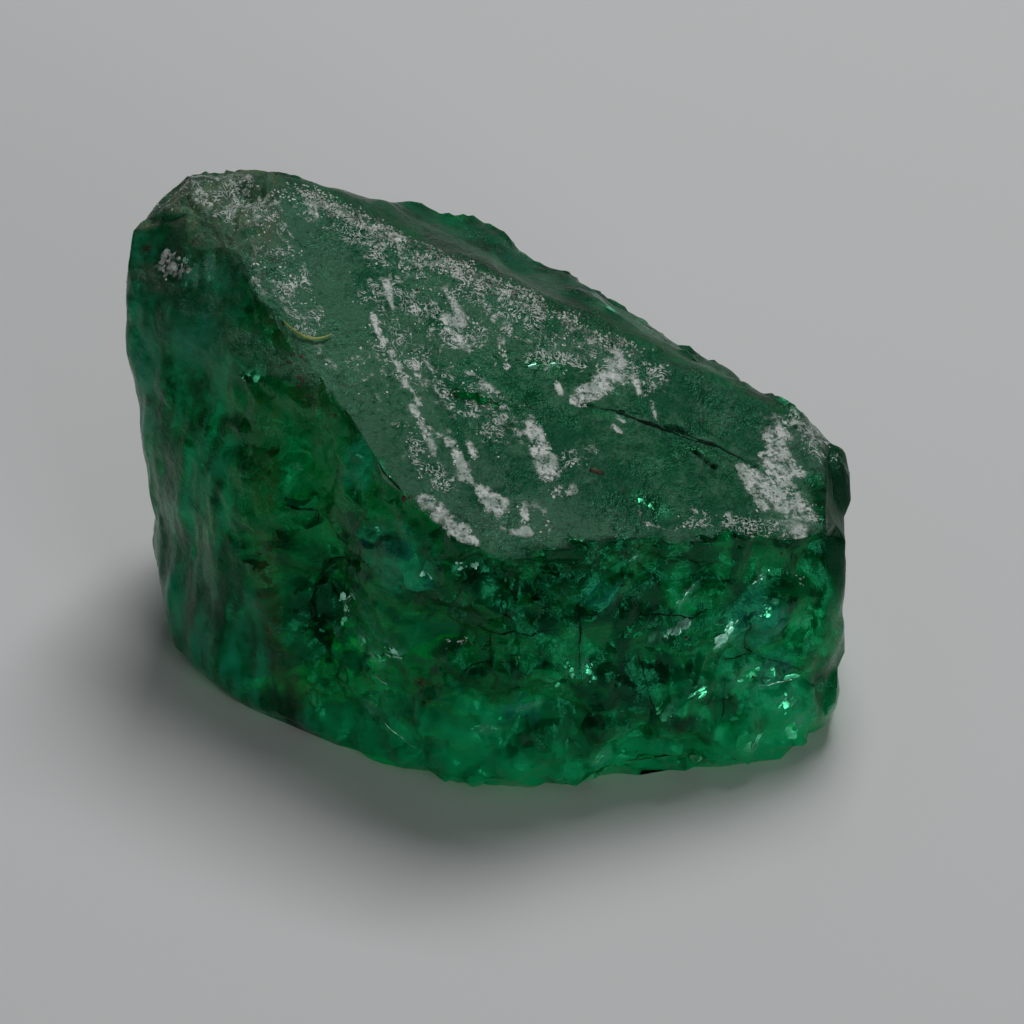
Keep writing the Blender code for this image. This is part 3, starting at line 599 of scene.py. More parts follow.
def tone_and_painted_light_of(p, zone):
    """Painted light and shade of the inside at each point, with its own tone, about 0 to 1: one middle value,
    the named spots, large and small broken pieces, and clouds. Painted light makes it brighter along the foot,
    and painted shade makes it darker under the top's front."""
    warp = 0.5 * cloud_shift(p * 0.6, 74)
    large = piece_glow((p * np.array((1.0, 1.0, 0.55)) + warp) / 1.9, 77, 0.27, 0.60)
    small = piece_glow(p * 1.6 + 0.7 * warp, 111, 0.15, 0.24)
    tone_and_painted_light = 0.50 + (large + small) * broken_share(p, zone) + 0.16 * layered(p * 0.7, 79, 4, 0.6)
    tone_and_painted_light += zone["left"] * (0.52 * streaks_of(p) - 0.08)
    wobble = 0.35 * layered(p * 0.9, 73, 3)
    for centre, radius, change in PAINTED_LIGHT_AND_SHADE_SPOTS:
        tone_and_painted_light += change * step(1.1, 0.25, spot_gap(p, centre, radius) + wobble)
    # Painted light along the foot, where light comes through the stone, and painted shade under the top's
    # front edge.
    tone_and_painted_light += 0.46 * step(2.6, 0.3, p[:, 2]) * (1.0 - 0.7 * zone["left"])
    return tone_and_painted_light - 0.26 * step(4.6, 6.2, p[:, 2]) * step(-4.2, -5.2, p[:, 1]) * zone["side"]


def right_end_share(p, n):
    """How far each point belongs to the narrow dark facet at the low end."""
    return step(0.30, 0.65, n[:, 0]) * step(9.0, 9.4, p[:, 0]) * step(3.6, 4.8, p[:, 2])


def skin_values(p, n, zone):
    """What the material reads at each vertex, by name, mostly 0 to 1."""
    upward = step(0.45, 0.75, n[:, 2])
    # Painted highlights along the bright fracture streaks and in the glint patches.
    streaks = [0.8 * step(2.6, 0.4, near_line(p, (start, end)) / half + 0.5 * cloud(p * 2.0, 7))
               for start, end, half in WHITE_STREAKS + GREEN_STREAKS]
    frost = zone["top"] + zone["cap"] + 0.75 * zone["band"] + 0.3 * zone["left"] * step(7.5, 10.5, p[:, 2])
    olive = np.maximum(shaded(p, OLIVE_SHADES), shaded(p, OLIVE_EDGE_SHADES) * (1.0 - zone["top"]))
    teal = np.maximum(0.8 * zone["left"] * step(-0.15, 0.35, streaks_of(p)), near_spots(p, TEAL_SPOTS, 0.5, 8))
    areas = near_smears(p, PALE_AND_SHEEN_AREAS, 0.3, 90) - near_smears(p, DULL_AREAS, 0.3, 90)
    return {"frost": np.clip(frost, 0.0, 1.0) * (1.0 - near_smears(p, CLEAR_WINDOWS, 0.3, 89)),
            "right_end": right_end_share(p, n),
            "cap": zone["cap"],
            "band": zone["band"],
            "strip": zone["band"] * step(1.5, 0.9, ridge_gap(p) + 0.2 * cloud(p, 88)),
            "smear": near_smears(p, SMEARS, 0.55, 99) * upward,
            "field": near_smears(p, SPECK_FIELDS, 0.35, 98) * upward,
            "olive": olive,
            "crack": shaded(p, CRACK_SHADES),
            "painted_glint": np.maximum(np.max(streaks, axis=0), 0.85 * near_spots(p, PAINTED_GLINT_PATCHES, 0.35, 18)),
            "teal": teal,
            "rust": near_spots(p, RUST_SPOTS, 0.7, 9),
            "broken": broken_share(p, zone),
            "cloudy": 0.5 + 0.5 * layered(p * 0.8, 87, 5, 0.62) + 0.25 * areas,
            "tone_and_painted_light": tone_and_painted_light_of(p, zone)}


def crystal_skin():
    """The crystal: refined copy of the solid, raised along its normals by its natural relief."""
    mesh = refined(merged_copy(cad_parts["emerald_crystal"]), REFINE_LEVELS)
    p, n = vertex_arrays(mesh)
    zone = zones(p, n)
    mesh.vertices.foreach_set("co", ((skin_places(p, n, zone) + SETTING_OUT) * MM).ravel())
    mesh.update()
    for name, values in skin_values(p, n, zone).items():
        store(mesh, name, values)
    shade_smooth(mesh, True)
    ends = read(mesh.edges, "vertices", 2, np.int32)
    sharp = (face_angles(mesh) > SHARP_ANGLE) & (right_end_share(p, n)[ends].min(1) < 0.5)
    mesh.attributes.new("sharp_edge", "BOOLEAN", "EDGE").data.foreach_set("value", sharp)
    mesh.materials.clear()
    mesh.materials.append(emerald_material())
    obj = linked("crystal_skin", mesh)
    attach(obj, "root")
    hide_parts("emerald_crystal")
    return obj


# ---- dirt, residue and bright fractures on the stone
def surface_points(mesh, weigh, count, seed):
    """Scatter points over a mesh: triangles are drawn by area times their weight, then a point is
    drawn in each. Gives the places (mm), the outward directions, and four random numbers each."""
    p, n = vertex_arrays(mesh)
    corners = triangle_corners(mesh)
    a, b, c = (p[corners[:, k]] for k in range(3))
    area = np.linalg.norm(np.cross(b - a, c - a), axis=1) / 2.0
    facing = n[corners].mean(1)
    facing /= np.maximum(np.linalg.norm(facing, axis=1), 1e-6)[:, None]
    share = area * weigh((a + b + c) / 3.0, facing)
    rng = np.random.default_rng(seed)
    pick = rng.choice(len(share), size=count, p=share / share.sum())
    u, v = rng.random(count), rng.random(count)
    flip = u + v > 1.0
    u, v = np.where(flip, 1.0 - u, u), np.where(flip, 1.0 - v, v)
    place = a[pick] + u[:, None] * (b - a)[pick] + v[:, None] * (c - a)[pick]
    return place, facing[pick], rng.random((count, 4))


def crumbs(name, place, facing, radius, height, sink, around, seed, along=None, narrow=0.55, smooth=True):
    """Many small closed bits. Each is a low dome on its own patch of surface: rings at 0, 0.6 and 1
    times the radius, raised 1, 0.75 and 0 times the height, closed by a ring and a point below.
    Each ring point's radius is changed by its own random number, so that no two bits are alike. The bits
    are longer along their own direction, and narrow is the least width for a length of 1."""
    count = len(place)
    rng = np.random.default_rng(seed)
    along = rng.normal(size=(count, 3)) if along is None else along
    other = unit(np.cross(facing, along))
    side = np.cross(other, facing)
    angle = np.arange(around) * 2.0 * math.pi / around
    ragged = 0.62 + 0.76 * rng.random((count, around))
    squeeze = narrow + (1.0 - narrow) * rng.random(count)
    rows = [place + facing * (height - sink)[:, None]]
    for reach, lift in ((0.6, 0.75), (1.0, 0.0), (0.6, -0.6)):
        out = radius[:, None] * reach * ragged
        x = out * np.cos(angle)
        y = out * np.sin(angle) * squeeze[:, None]
        z = height[:, None] * (lift + 0.25 * (rng.random((count, around)) - 0.5)) - sink[:, None]
        rows.append(place[:, None, :] + x[..., None] * side[:, None, :] + y[..., None] * other[:, None, :]
                    + z[..., None] * facing[:, None, :])
    rows.append(place - facing * (0.8 * height + sink)[:, None])
    points = np.concatenate([r.reshape(count, -1) for r in rows], 1).reshape(-1, 3)
    k = np.arange(around)
    nxt = (k + 1) % around
    faces = [np.stack([np.zeros(around, int), 1 + k, 1 + nxt], 1)]
    for low in (1, 1 + around):
        high = low + around
        faces.append(np.stack([low + k, high + k, high + nxt], 1))
        faces.append(np.stack([low + k, high + nxt, low + nxt], 1))
    last = 1 + 2 * around
    faces.append(np.stack([last + k, np.full(around, last + around), last + nxt], 1))
    first_numbers = (np.arange(count) * (2 + 3 * around))[:, None, None]
    faces = (np.concatenate(faces)[None] + first_numbers).reshape(-1, 3)
    obj = finished_piece(name, points, faces, two_tone_material(name))
    shade_smooth(obj.data, smooth)
    return obj


def scattered(skin, name, weigh, count, seed, size, height, sink, around, smooth=True):
    """Crumbs scattered by a weight. Size is the least radius, what is added to it, and the power of the
    random share added. Height is the least share of the radius and what is added to it."""
    place, facing, chance = surface_points(skin.data, weigh, count, seed)
    radius = size[0] + size[1] * chance[:, 0] ** size[2]
    crumbs(name, place, facing, radius, radius * (height[0] + height[1] * chance[:, 1]), radius * sink,
           around, seed + 2, smooth=smooth)


def crust_weight(p, n):
    """Flat flakes in the smears."""
    wanted = near_smears(p, SMEARS, 0.35, 99) ** 2
    return wanted * step(0.5, 0.8, n[:, 2]) * step(-0.15, 0.25, layered(p * 2.4, 101, 3))


def speck_weight(p, n):
    """Loose specks in the fields."""
    wanted = near_smears(p, SPECK_FIELDS, 0.3, 98)
    return wanted * step(0.5, 0.8, n[:, 2]) * step(0.0, 0.4, layered(p * 2.6, 103, 3))


def ridge_weight(p, n):
    """Mineral grains along the ridge."""
    gap = near_line(p, RIDGE_LINE) + 0.35 * layered(p * 1.2, 105, 3)
    return step(0.55, 0.0, gap) * step(0.2, 0.6, n[:, 2])


def cluster_weight(p, n):
    """A nest of small clear-white crystals at the upper left."""
    return near_spots(p, CLUSTER_PLACE, 0.3, 17)


def grit_weight(p, n):
    """Reddish-brown grains of iron oxide, caught in pits and cracks."""
    return near_spots(p, GRIT_SPOTS, 0.3, 15) + 0.002


def residue_film(skin):
    """Thin chalky film: the skin's own triangles wherever a smear or a speck field lies, lifted along
    their normals. Its opacity breaks it up into smears and worm-like specks."""
    mesh = skin.data
    p, n = vertex_arrays(mesh)
    values = {name: read(mesh.attributes[name].data, "value", 1).ravel() for name in ("smear", "field")}
    corners = triangle_corners(mesh)
    covered = corners[(np.maximum(values["smear"], values["field"])[corners] > 0.02).any(1)]
    used, numbers = np.unique(covered, return_inverse=True)
    obj = finished_piece("residue_film", (p + FILM_LIFT * n)[used], numbers.reshape(-1, 3), film_material())
    for name in values:
        store(obj.data, name, values[name][used])


def unit(v):
    """Rows drawn to length 1."""
    return v / np.linalg.norm(v, axis=1)[:, None]


def carried_to(skin_points, skin_normals, points):
    """Points moved onto the skin: each is dropped on the plane of the skin point nearest to it."""
    nearest = np.array([np.argmin(((skin_points - q) ** 2).sum(1)) for q in points])
    n = skin_normals[nearest]
    return points - ((points - skin_points[nearest]) * n).sum(1)[:, None] * n, n


def strip_faces(rows, sides):
    """Triangles of a tube of that many rows and sides, points numbered along each row."""
    i, k = np.meshgrid(np.arange(rows - 1), np.arange(sides), indexing="ij")
    low, nxt = sides * i, (k + 1) % sides
    high = low + sides
    return np.concatenate([np.stack([low + k, low + nxt, high + nxt], -1).reshape(-1, 3),
                           np.stack([low + k, high + nxt, high + k], -1).reshape(-1, 3)])


def hairlines(skin, name, lines, widths, seed):
    """Hairline cracks. Each is a low three-sided rod carried along a broken line on the skin: the
    line wanders by a cloud, and the width is cut by its own cloud and runs out at both ends."""
    skin_points, skin_normals = vertex_arrays(skin.data)
    points, faces, count = [], [], 0
    for line, width in zip(lines, widths):
        corners = np.array(line, float)
        run = np.concatenate([[0.0], np.cumsum(np.linalg.norm(np.diff(corners, axis=0), axis=1))])
        t = np.linspace(0.0, run[-1], max(8, int(run[-1] / HAIRLINE_ROW)))
        spine = np.stack([np.interp(t, run, corners[:, k]) for k in range(3)], 1)
        spine += HAIRLINE_WANDER * cloud_shift(spine * 2.6, seed)
        spine, n = carried_to(skin_points, skin_normals, spine)
        half = width * np.clip(0.65 + 0.8 * cloud(spine * 2.2, seed + 7), 0.25, 1.3)
        half *= step(0.0, 0.3, t / run[-1]) * step(1.0, 0.75, t / run[-1]) + 0.08
        side = np.cross(unit(np.gradient(spine, axis=0)), n) * half[:, None]
        sunk = spine - HAIRLINE_SINK * n
        points.append(np.stack([sunk - side, spine + HAIRLINE_CREST * n, sunk + side], 1).reshape(-1, 3))
        faces += [count + strip_faces(len(t), 3), np.array([[count, count + 2, count + 1]]),
                  np.array([[0, 1, 2]]) + count + 3 * (len(t) - 1)]
        count += 3 * len(t)
    finished_piece(name, np.concatenate(points), np.concatenate(faces), two_tone_material(name))


def glints(skin, name, streaks, each, seed):
    """Thin mirror-like flakes where fractures catch the light. They lie along named streaks: the place
    is a random share of the way plus a random step aside of up to the half width."""
    rng = np.random.default_rng(seed)
    start, end, half = (np.repeat(np.array([streak[k] for streak in streaks], float), each, axis=0)
                        for k in range(3))
    spot = start + (end - start) * rng.random((len(half), 1))
    spot += rng.uniform(-1.0, 1.0, (len(half), 3)) * half[:, None]
    place, facing = carried_to(*vertex_arrays(skin.data), spot)
    radius = half * (0.25 + 0.95 * rng.random(len(half)) ** 2)
    crumbs(name, place, facing, radius, height=radius * 0.06, sink=radius * 0.015, around=7, seed=seed + 1,
           along=end - start, narrow=0.16, smooth=False)


def brown_grain(skin):
    """One long brown grain sunk in the frosted face."""
    place, facing = carried_to(*vertex_arrays(skin.data), np.array([on_top(3.03, -2.92)]))
    crumbs("brown_grain", place, facing, radius=np.array([0.20]), height=np.array([0.11]),
           sink=np.array([0.02]), around=12, seed=125, along=np.array([[1.0, -0.25, 0.25]]), narrow=0.5)


def stray_fibre():
    """A short fibre along an arc: a circle carried along a smooth curve through three named places,
    thinner to both ends and closed by a point at each."""
    t = np.linspace(0.0, 1.0, FIBRE_ROWS)[:, None]
    a, b, c = (np.array(place) for place in FIBRE_PLACES)
    spine = 2 * (t - 0.5) * (t - 1.0) * a - 4 * t * (t - 1.0) * b + 2 * t * (t - 0.5) * c
    along = unit(np.gradient(spine, axis=0))
    side = unit(np.cross(along, np.array((0.0, 0.0, 1.0))))
    up = np.cross(side, along)
    width = FIBRE_RADIUS * (0.35 + 0.65 * np.sin(math.pi * np.clip(t, 0.03, 0.97)) ** 0.5)
    angle = (np.arange(FIBRE_SIDES) * 2.0 * math.pi / FIBRE_SIDES)[None, :, None]
    ring = spine[:, None] + width[..., None] * (np.cos(angle) * side[:, None] + np.sin(angle) * up[:, None])
    k = np.arange(FIBRE_SIDES)
    nxt = (k + 1) % FIBRE_SIDES
    tip = FIBRE_ROWS * FIBRE_SIDES
    last = tip - FIBRE_SIDES
    caps = [np.stack([np.full(FIBRE_SIDES, tip), nxt, k], 1),
            np.stack([np.full(FIBRE_SIDES, tip + 1), last + k, last + nxt], 1)]
    finished_piece("stray_fibre", np.concatenate([ring.reshape(-1, 3), spine[:1], spine[-1:]]),
                   np.concatenate([strip_faces(FIBRE_ROWS, FIBRE_SIDES), *caps]),
                   two_tone_material("stray_fibre"))


# ---- materials
class Wiring:
    """Short calls to add and join the nodes of one material."""

    def __init__(self, material):
        self.nodes = material.node_tree.nodes
        self.links = material.node_tree.links
        self.shader = self.nodes["Principled BSDF"]

    def add(self, kind, **settings):
        node = self.nodes.new(kind)
        for key, value in settings.items():
            setattr(node, key, value)
        return node

    def put(self, source, target):
        """Join an output to an input, or write a plain value into it."""
        if isinstance(source, bpy.types.NodeSocket):
            self.links.new(source, target)
        elif isinstance(source, (tuple, list)) and len(source) == 3 and target.type == "RGBA":
            target.default_value = (*source, 1.0)
        else:
            target.default_value = source

    def fill(self, node, values):
        """Put a value in each named input of a node."""
        for name, value in values.items():
            self.put(value, node.inputs[name])
        return node

    def place(self):
        return self.add("ShaderNodeTexCoord").outputs["Object"]

    def value_of(self, name):
        return self.add("ShaderNodeAttribute", attribute_name=name).outputs["Fac"]

    def math(self, kind, a, b=0.0, clamp=False):
        node = self.add("ShaderNodeMath", operation=kind, use_clamp=clamp)
        self.put(a, node.inputs[0])
        self.put(b, node.inputs[1])
        return node.outputs[0]

    def chain(self, kind, values):
        total = values[0]
        for value in values[1:]:
            total = self.math(kind, total, value)
        return total

    def times(self, *values):
        return self.chain("MULTIPLY", values)

    def plus(self, *values):
        return self.chain("ADD", values)

    def minus(self, a, b):
        return self.math("SUBTRACT", a, b)

    def swing(self, *shares):
        """Add up triples of a weight, an output and the middle value that it swings about."""
        return self.plus(*(self.times(self.minus(value, middle), weight)
                           for weight, value, middle in shares))

    def span(self, value, low, high, to_low=0.0, to_high=1.0):
        """Smooth change from to_low at low to to_high at high."""
        node = self.add("ShaderNodeMapRange", interpolation_type="SMOOTHSTEP")
        return self.fill(node, {"Value": value, "From Min": low, "From Max": high,
                                "To Min": to_low, "To Max": to_high}).outputs["Result"]

    def noise(self, per_mm, detail, rough, warp=0.0):
        """Clouds in the crystal's own space, about 0.3 to 0.7."""
        node = self.add("ShaderNodeTexNoise")
        return self.fill(node, {"Vector": self.place(), "Scale": per_mm / MM, "Detail": detail,
                                "Roughness": rough, "Distortion": warp}).outputs["Fac"]

    def laid_over(self, colour, *layers):
        """Colours laid one over another, each given as its share and the colour."""
        for share, over in layers:
            node = self.add("ShaderNodeMix", data_type="RGBA")
            self.put(share, node.inputs["Factor"])
            self.put(colour, node.inputs[6])
            self.put(over, node.inputs[7])
            colour = node.outputs[2]
        return colour

    def vector(self, kind, a, b):
        node = self.add("ShaderNodeVectorMath", operation=kind)
        self.put(a, node.inputs[0])
        self.put(b, node.inputs[1])
        return node.outputs["Value" if kind == "DOT_PRODUCT" else "Vector"]

    def pieces(self, place, per_mm):
        """Split space into cells. Gives one number for each cell, and a plane across it in its own
        direction."""
        cells = self.fill(self.add("ShaderNodeTexVoronoi", feature="F1"),
                          {"Vector": place, "Scale": per_mm / MM})
        offset = self.vector("MULTIPLY", self.vector("SUBTRACT", place, cells.outputs["Position"]),
                             (per_mm / MM,) * 3)
        facing = self.vector("SUBTRACT", cells.outputs["Color"], (0.5, 0.5, 0.5))
        return (self.vector("DOT_PRODUCT", cells.outputs["Color"], (0.5, 0.5, 0.0)),
                self.vector("DOT_PRODUCT", offset, facing))

    def bump(self, height, strength, distance_mm):
        node = self.fill(self.add("ShaderNodeBump"),
                         {"Strength": strength, "Distance": distance_mm * MM, "Height": height})
        self.put(node.outputs["Normal"], self.shader.inputs["Normal"])


def new_material(name):
    material = bpy.data.materials.new(name)
    material.use_nodes = True
    return material, Wiring(material)


def emerald_material():
    """Clear green stone. One plain transmission, index and absorption; colour, gloss and bump vary."""
    material, w = new_material("emerald")
    frost, broken, end = (w.value_of(name) for name in ("frost", "broken", "right_end"))
    fine = w.noise(2.2, 4.0, 0.68, 0.4)
    micro = w.noise(4.8, 3.0, 0.78)
    bent = w.vector("ADD", w.place(), w.vector("MULTIPLY", w.minus(fine, 0.5), (0.45 * MM,) * 3))
    mid_tone, mid_tilt = w.pieces(bent, 0.95)
    # Each broken piece has its own tone and a painted slope of light and shade across it.
    facets = w.swing((0.22, mid_tone, 0.5), (0.48, mid_tilt, 0.0))
    inner_tone_and_light = w.plus(w.value_of("tone_and_painted_light"), w.times(facets, broken),
                   w.times(w.minus(fine, 0.5), 0.55, w.plus(0.45, w.times(broken, 0.55))))
    # Thin bright wisps along fractures: painted highlights.
    painted_wisp = w.times(w.span(w.math("ABSOLUTE", w.minus(fine, 0.535)), 0.020, 0.004),
                   w.span(mid_tone, 0.50, 0.62), broken)
    # Deep green, then painted lit green, by the inside's tone and its painted light and shade.
    clear = w.laid_over(
        (0.0, 0.045, 0.012),
        (w.span(inner_tone_and_light, 0.10, 0.60), (0.001, 0.36, 0.090)),  # deep green
        (w.span(inner_tone_and_light, 0.52, 1.00), (0.005, 1.0, 0.32)),  # lit green
        (w.times(w.value_of("teal"), w.span(fine, 0.34, 0.60, 0.3, 0.8)), (0.03, 0.60, 0.40)),
        (w.times(w.value_of("olive"), w.span(fine, 0.36, 0.58), 0.8), (0.10, 0.17, 0.04)),
        (w.times(painted_wisp, 0.75), (0.06, 1.0, 0.50)))
    # The back band is coloured darker than the frosted face: painted shade on a face turned back from the
    # light, with the grey strip along the ridge.
    behind = w.laid_over(
        (0.002, 0.05, 0.026),
        (w.span(inner_tone_and_light, 0.2, 0.8), (0.012, 0.17, 0.10)),
        (w.times(w.value_of("strip"), w.span(fine, 0.30, 0.60, 0.5, 1.0)), (0.060, 0.095, 0.070)))
    cloudy = w.plus(w.value_of("cloudy"), w.swing((0.7, fine, 0.5), (1.9, micro, 0.5)))
    frosted = w.laid_over(
        (0.020, 0.105, 0.062),
        (w.span(cloudy, 0.10, 0.95), (0.205, 0.345, 0.265)),  # pale frost
        (w.span(micro, 0.40, 0.33, 0.0, 0.85), (0.012, 0.06, 0.034)),  # dark specks
        (w.value_of("band"), behind))
    # Painted highlights where fractures catch the light.
    painted_glint = w.times(w.value_of("painted_glint"), w.span(w.plus(fine, mid_tilt), 0.42, 0.66), 0.85)
    colour = w.laid_over(
        clear,
        (w.times(frost, 0.95), frosted),
        (w.times(w.value_of("cap"), w.span(fine, 0.42, 0.58, 0.30, 1.0)), (0.38, 0.41, 0.28)),
        # Painted shade darkens the right end facet.
        (w.times(end, 0.85), (0.004, 0.045, 0.018)),  # the dark right end
        (w.times(w.value_of("rust"), w.span(fine, 0.46, 0.60, 0.0, 0.9)), (0.085, 0.022, 0.012)),
        (w.value_of("crack"), (0.002, 0.014, 0.008)),
        (painted_glint, (0.20, 1.0, 0.62)))
    rough = w.math("ADD", w.span(mid_tone, 0.2, 0.8, 0.10, 0.32),
                   w.times(w.math("MAXIMUM", frost, end), 0.22), clamp=True)
    w.fill(w.shader, {"Base Color": colour, "Roughness": rough, "IOR": EMERALD_IOR, "Specular IOR Level": 0.3,
                      "Specular Tint": (0.06, 1.0, 0.45), "Transmission Weight": EMERALD_TRANSMISSION})
    w.bump(w.times(micro, w.plus(0.8, w.times(frost, 1.4))), strength=0.7, distance_mm=0.06)
    inside = w.fill(w.add("ShaderNodeVolumeAbsorption"),
                    {"Color": ABSORPTION_COLOUR, "Density": ABSORPTION_DENSITY})
    w.put(inside.outputs["Volume"], w.nodes["Material Output"].inputs["Volume"])
    return material


def film_material():
    """Thin chalk film: solid in the smears, worm-like specks in the fields, clear between."""
    material, w = new_material("chalk_film")
    fine = w.noise(4.2, 4.0, 0.70)
    broad = w.noise(1.3, 3.0, 0.62, 0.8)
    chalk = w.value_of("smear")
    smear = w.times(w.span(w.swing((1.0, chalk, 0.0), (1.7, broad, 0.5), (2.6, fine, 0.5)), 0.28, 0.80),
                    w.span(chalk, 0.05, 0.80),
                    w.span(fine, 0.36, 0.58, 0.30, 1.0),
                    w.span(w.noise(7.0, 2.0, 0.6), 0.57, 0.64, 1.0, 0.25))
    worm = w.math("ABSOLUTE", w.minus(w.noise(2.9, 2.0, 0.5, 2.2), 0.5))
    worm = w.times(w.span(worm, 0.050, 0.015), w.span(broad, 0.46, 0.56))
    grains = w.times(w.span(fine, 0.58, 0.64), w.span(broad, 0.40, 0.52), 0.7)
    worm = w.times(w.math("MAXIMUM", worm, grains),
                   w.span(w.swing((1.0, w.value_of("field"), 0.0), (1.2, fine, 0.5)), 0.3, 0.6), 0.9)
    tone = w.span(w.noise(2.4, 4.0, 0.6), 0.35, 0.65)
    w.fill(w.shader, {"Base Color": w.laid_over((0.44, 0.57, 0.49), (tone, (0.95, 1.0, 0.96))),
                      "Alpha": w.times(w.math("MAXIMUM", smear, worm), 0.92), "Roughness": 0.6})
    w.bump(fine, strength=0.8, distance_mm=0.1)
    return material


# Materials in two tones: name, the darker and the lighter colour, the cloud that shares them out (how many
# to the mm, octaves, roughness, and the span over which the first turns to the second), then the surface
# (roughness, metallic share, specular level).
OPEN_CRACK = ("open_crack", (0.001, 0.008, 0.004), (0.003, 0.040, 0.018), (3.0, 4.0, 0.6, 0.35, 0.65),
              (0.8, 0.0, 0.1))
WHITE_RESIDUE = ("white_residue", (0.38, 0.50, 0.42), (0.93, 0.97, 0.93), (2.2, 4.0, 0.6, 0.35, 0.65),
                 (0.72, 0.0, 0.5))
GRIT_CLOUD = (4.0, 3.0, 0.6, 0.35, 0.65)
GRIT_SURFACE = (0.65, 0.0, 0.5)
MIRROR_CLOUD = (5.0, 3.0, 0.6, 0.40, 0.60)
MIRROR_SURFACE = (0.30, 1.0, 0.5)
TWO_TONES = {
    "residue_crust": WHITE_RESIDUE,
    "residue_specks": WHITE_RESIDUE,
    "top_cracks": OPEN_CRACK,
    "hollow_cracks": OPEN_CRACK,
    "front_cracks": OPEN_CRACK,
    "ridge_grains": ("ridge_grain", (0.13, 0.17, 0.13), (0.78, 0.82, 0.75), (3.0, 4.0, 0.6, 0.35, 0.65),
                     (0.4, 0.0, 0.5)),
    "bright_hairlines": ("bright_hairlines", (0.300, 0.6, 0.468), (0.50, 1.0, 0.78), MIRROR_CLOUD,
                         MIRROR_SURFACE),
    "white_glints": ("white_glints", (0.252, 0.6, 0.444), (0.42, 1.0, 0.74), MIRROR_CLOUD, MIRROR_SURFACE),
    "green_glints": ("green_glints", (0.084, 0.6, 0.300), (0.14, 1.0, 0.50), MIRROR_CLOUD, MIRROR_SURFACE),
    "clear_cluster": ("clear_grain", (0.10, 0.16, 0.12), (0.66, 0.72, 0.66), (3.2, 3.0, 0.6, 0.36, 0.62),
                      (0.18, 0.0, 0.5)),
    "iron_grit": ("iron_grit", (0.030, 0.014, 0.009), (0.120, 0.036, 0.022), GRIT_CLOUD, GRIT_SURFACE),
    "brown_grain": ("brown_grain", (0.020, 0.018, 0.008), (0.085, 0.062, 0.030), GRIT_CLOUD, GRIT_SURFACE),
    "stray_fibre": ("fibre", (0.20, 0.28, 0.05), (0.50, 0.58, 0.16), (2.5, 3.0, 0.5, 0.35, 0.65),
                    (0.45, 0.0, 0.5))}


def two_tone_material(piece):
    """The piece's material from its row in TWO_TONES, made once for all pieces that share it."""
    name, dark, light, (per_mm, octaves, rough, low, high), surface = TWO_TONES[piece]
    if name in bpy.data.materials:
        return bpy.data.materials[name]
    material, w = new_material(name)
    tone = w.span(w.noise(per_mm, octaves, rough), low, high)
    w.fill(w.shader, {"Base Color": w.laid_over(dark, (tone, light)),
                      **dict(zip(("Roughness", "Metallic", "Specular IOR Level"), surface))})
    return material


# ---- floor, light and camera
FLOOR_REACH = 0.6
FLOOR_COLOUR = (0.86, 0.86, 0.87)
FLOOR_ROUGHNESS = 0.75
# Soft boxes: name, place and width in metres, power in watts. They are turned to LIGHT_TARGET.
SOFT_BOXES = (("top_back_light", (0.04, 0.14, 0.28), 0.13, 0.42),
              ("front_fill", (0.16, -0.26, 0.07), 0.14, 0.20))
LIGHT_TARGET = (0.0, 0.0, 0.005)
SKY_COLOUR = (0.9, 0.93, 0.95)
SKY_STRENGTH = 0.07
CAMERA_PLACE = (0.00067, -0.15502, 0.13445)
CAMERA_TARGET = (0.00067, -0.00181, 0.00589)
LENS_MM = 257.0
SENSOR_MM = 36.0
CLIP_START, CLIP_END = 0.01, 10.0


def turned_to(obj, place, target):
    """Set an object down at a place and point it at a target."""
    obj.location = place
    obj.rotation_euler = (Vector(target) - Vector(place)).to_track_quat("-Z", "Y").to_euler()


def floor():
    """Plain pale floor, much wider than the view."""
    material, w = new_material("pale_floor")
    w.fill(w.shader, {"Base Color": FLOOR_COLOUR, "Roughness": FLOOR_ROUGHNESS})
    mesh = bpy.data.meshes.new("floor")
    corners = [(x * FLOOR_REACH, y * FLOOR_REACH, 0.0) for x, y in ((-1, -1), (1, -1), (1, 1), (-1, 1))]
    mesh.from_pydata(corners, [], [(0, 1, 2, 3)])
    mesh.materials.append(material)
    obj = linked("floor", mesh)


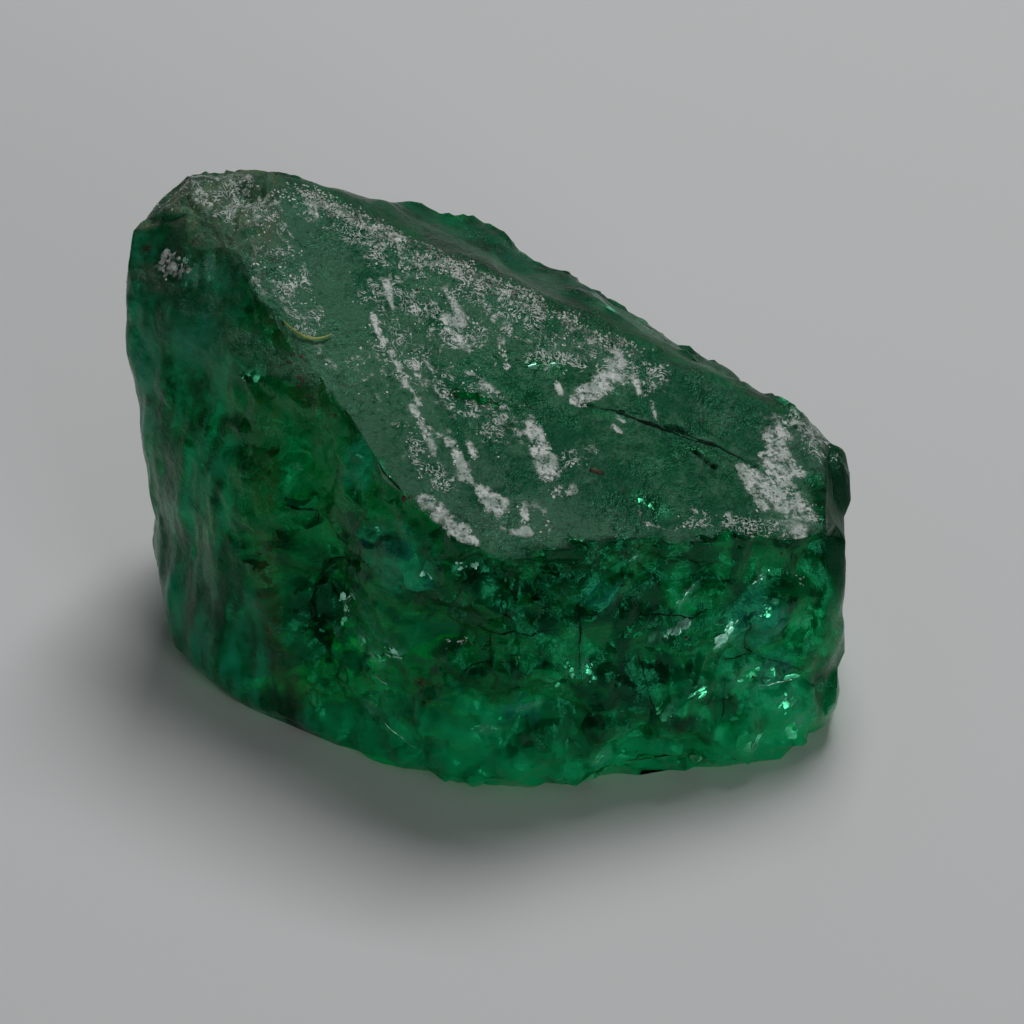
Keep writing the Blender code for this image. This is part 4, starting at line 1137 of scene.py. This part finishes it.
def lights():
    for name, place, width, power in SOFT_BOXES:
        data = bpy.data.lights.new(name, "AREA")
        data.shape = "SQUARE"
        data.size = width
        data.energy = power
        turned_to(linked(name, data), place, LIGHT_TARGET)
    world = bpy.data.worlds.new("studio")
    world.use_nodes = True
    sky = world.node_tree.nodes["Background"]
    sky.inputs["Color"].default_value = (*SKY_COLOUR, 1.0)
    sky.inputs["Strength"].default_value = SKY_STRENGTH
    bpy.context.scene.world = world


def camera():
    """Long lens, 40 degrees above the table, straight to the front."""
    data = bpy.data.cameras.new("camera")
    data.sensor_width = SENSOR_MM
    data.lens = LENS_MM
    data.clip_start = CLIP_START
    data.clip_end = CLIP_END
    obj = linked("camera", data)
    turned_to(obj, CAMERA_PLACE, CAMERA_TARGET)
    bpy.context.scene.camera = obj


bpy.context.scene.view_settings.view_transform = "Standard"
skin = crystal_skin()
residue_film(skin)
scattered(skin, "residue_crust", crust_weight, count=700, seed=107, size=(0.02, 0.05, 2),
          height=(0.20, 0.15), sink=0.08, around=8)
scattered(skin, "residue_specks", speck_weight, count=1100, seed=111, size=(0.014, 0.036, 3),
          height=(0.3, 0.3), sink=0.1, around=6)
scattered(skin, "ridge_grains", ridge_weight, count=2300, seed=115, size=(0.014, 0.045, 2),
          height=(0.4, 0.4), sink=0.1, around=6)
hairlines(skin, "top_cracks", TOP_CRACK_LINES, TOP_CRACK_WIDTHS, seed=161)
hairlines(skin, "hollow_cracks", (HOLLOW_CRACK_LINE, HOLLOW_SIDE_CRACK), HOLLOW_CRACK_WIDTHS, seed=171)
hairlines(skin, "front_cracks", FRONT_CRACK_LINES, (FRONT_CRACK_WIDTH,) * len(FRONT_CRACK_LINES), seed=181)
hairlines(skin, "bright_hairlines", BRIGHT_LINES, BRIGHT_WIDTHS, seed=191)
glints(skin, "white_glints", WHITE_STREAKS, each=18, seed=131)
glints(skin, "green_glints", GREEN_STREAKS, each=12, seed=141)
scattered(skin, "clear_cluster", cluster_weight, count=60, seed=151, size=(0.05, 0.12, 2),
          height=(0.5, 0.5), sink=0.1, around=6, smooth=False)
scattered(skin, "iron_grit", grit_weight, count=150, seed=121, size=(0.02, 0.045, 2),
          height=(0.7, 0.5), sink=0.2, around=7)
brown_grain(skin)
stray_fibre()
floor()
lights()
camera()
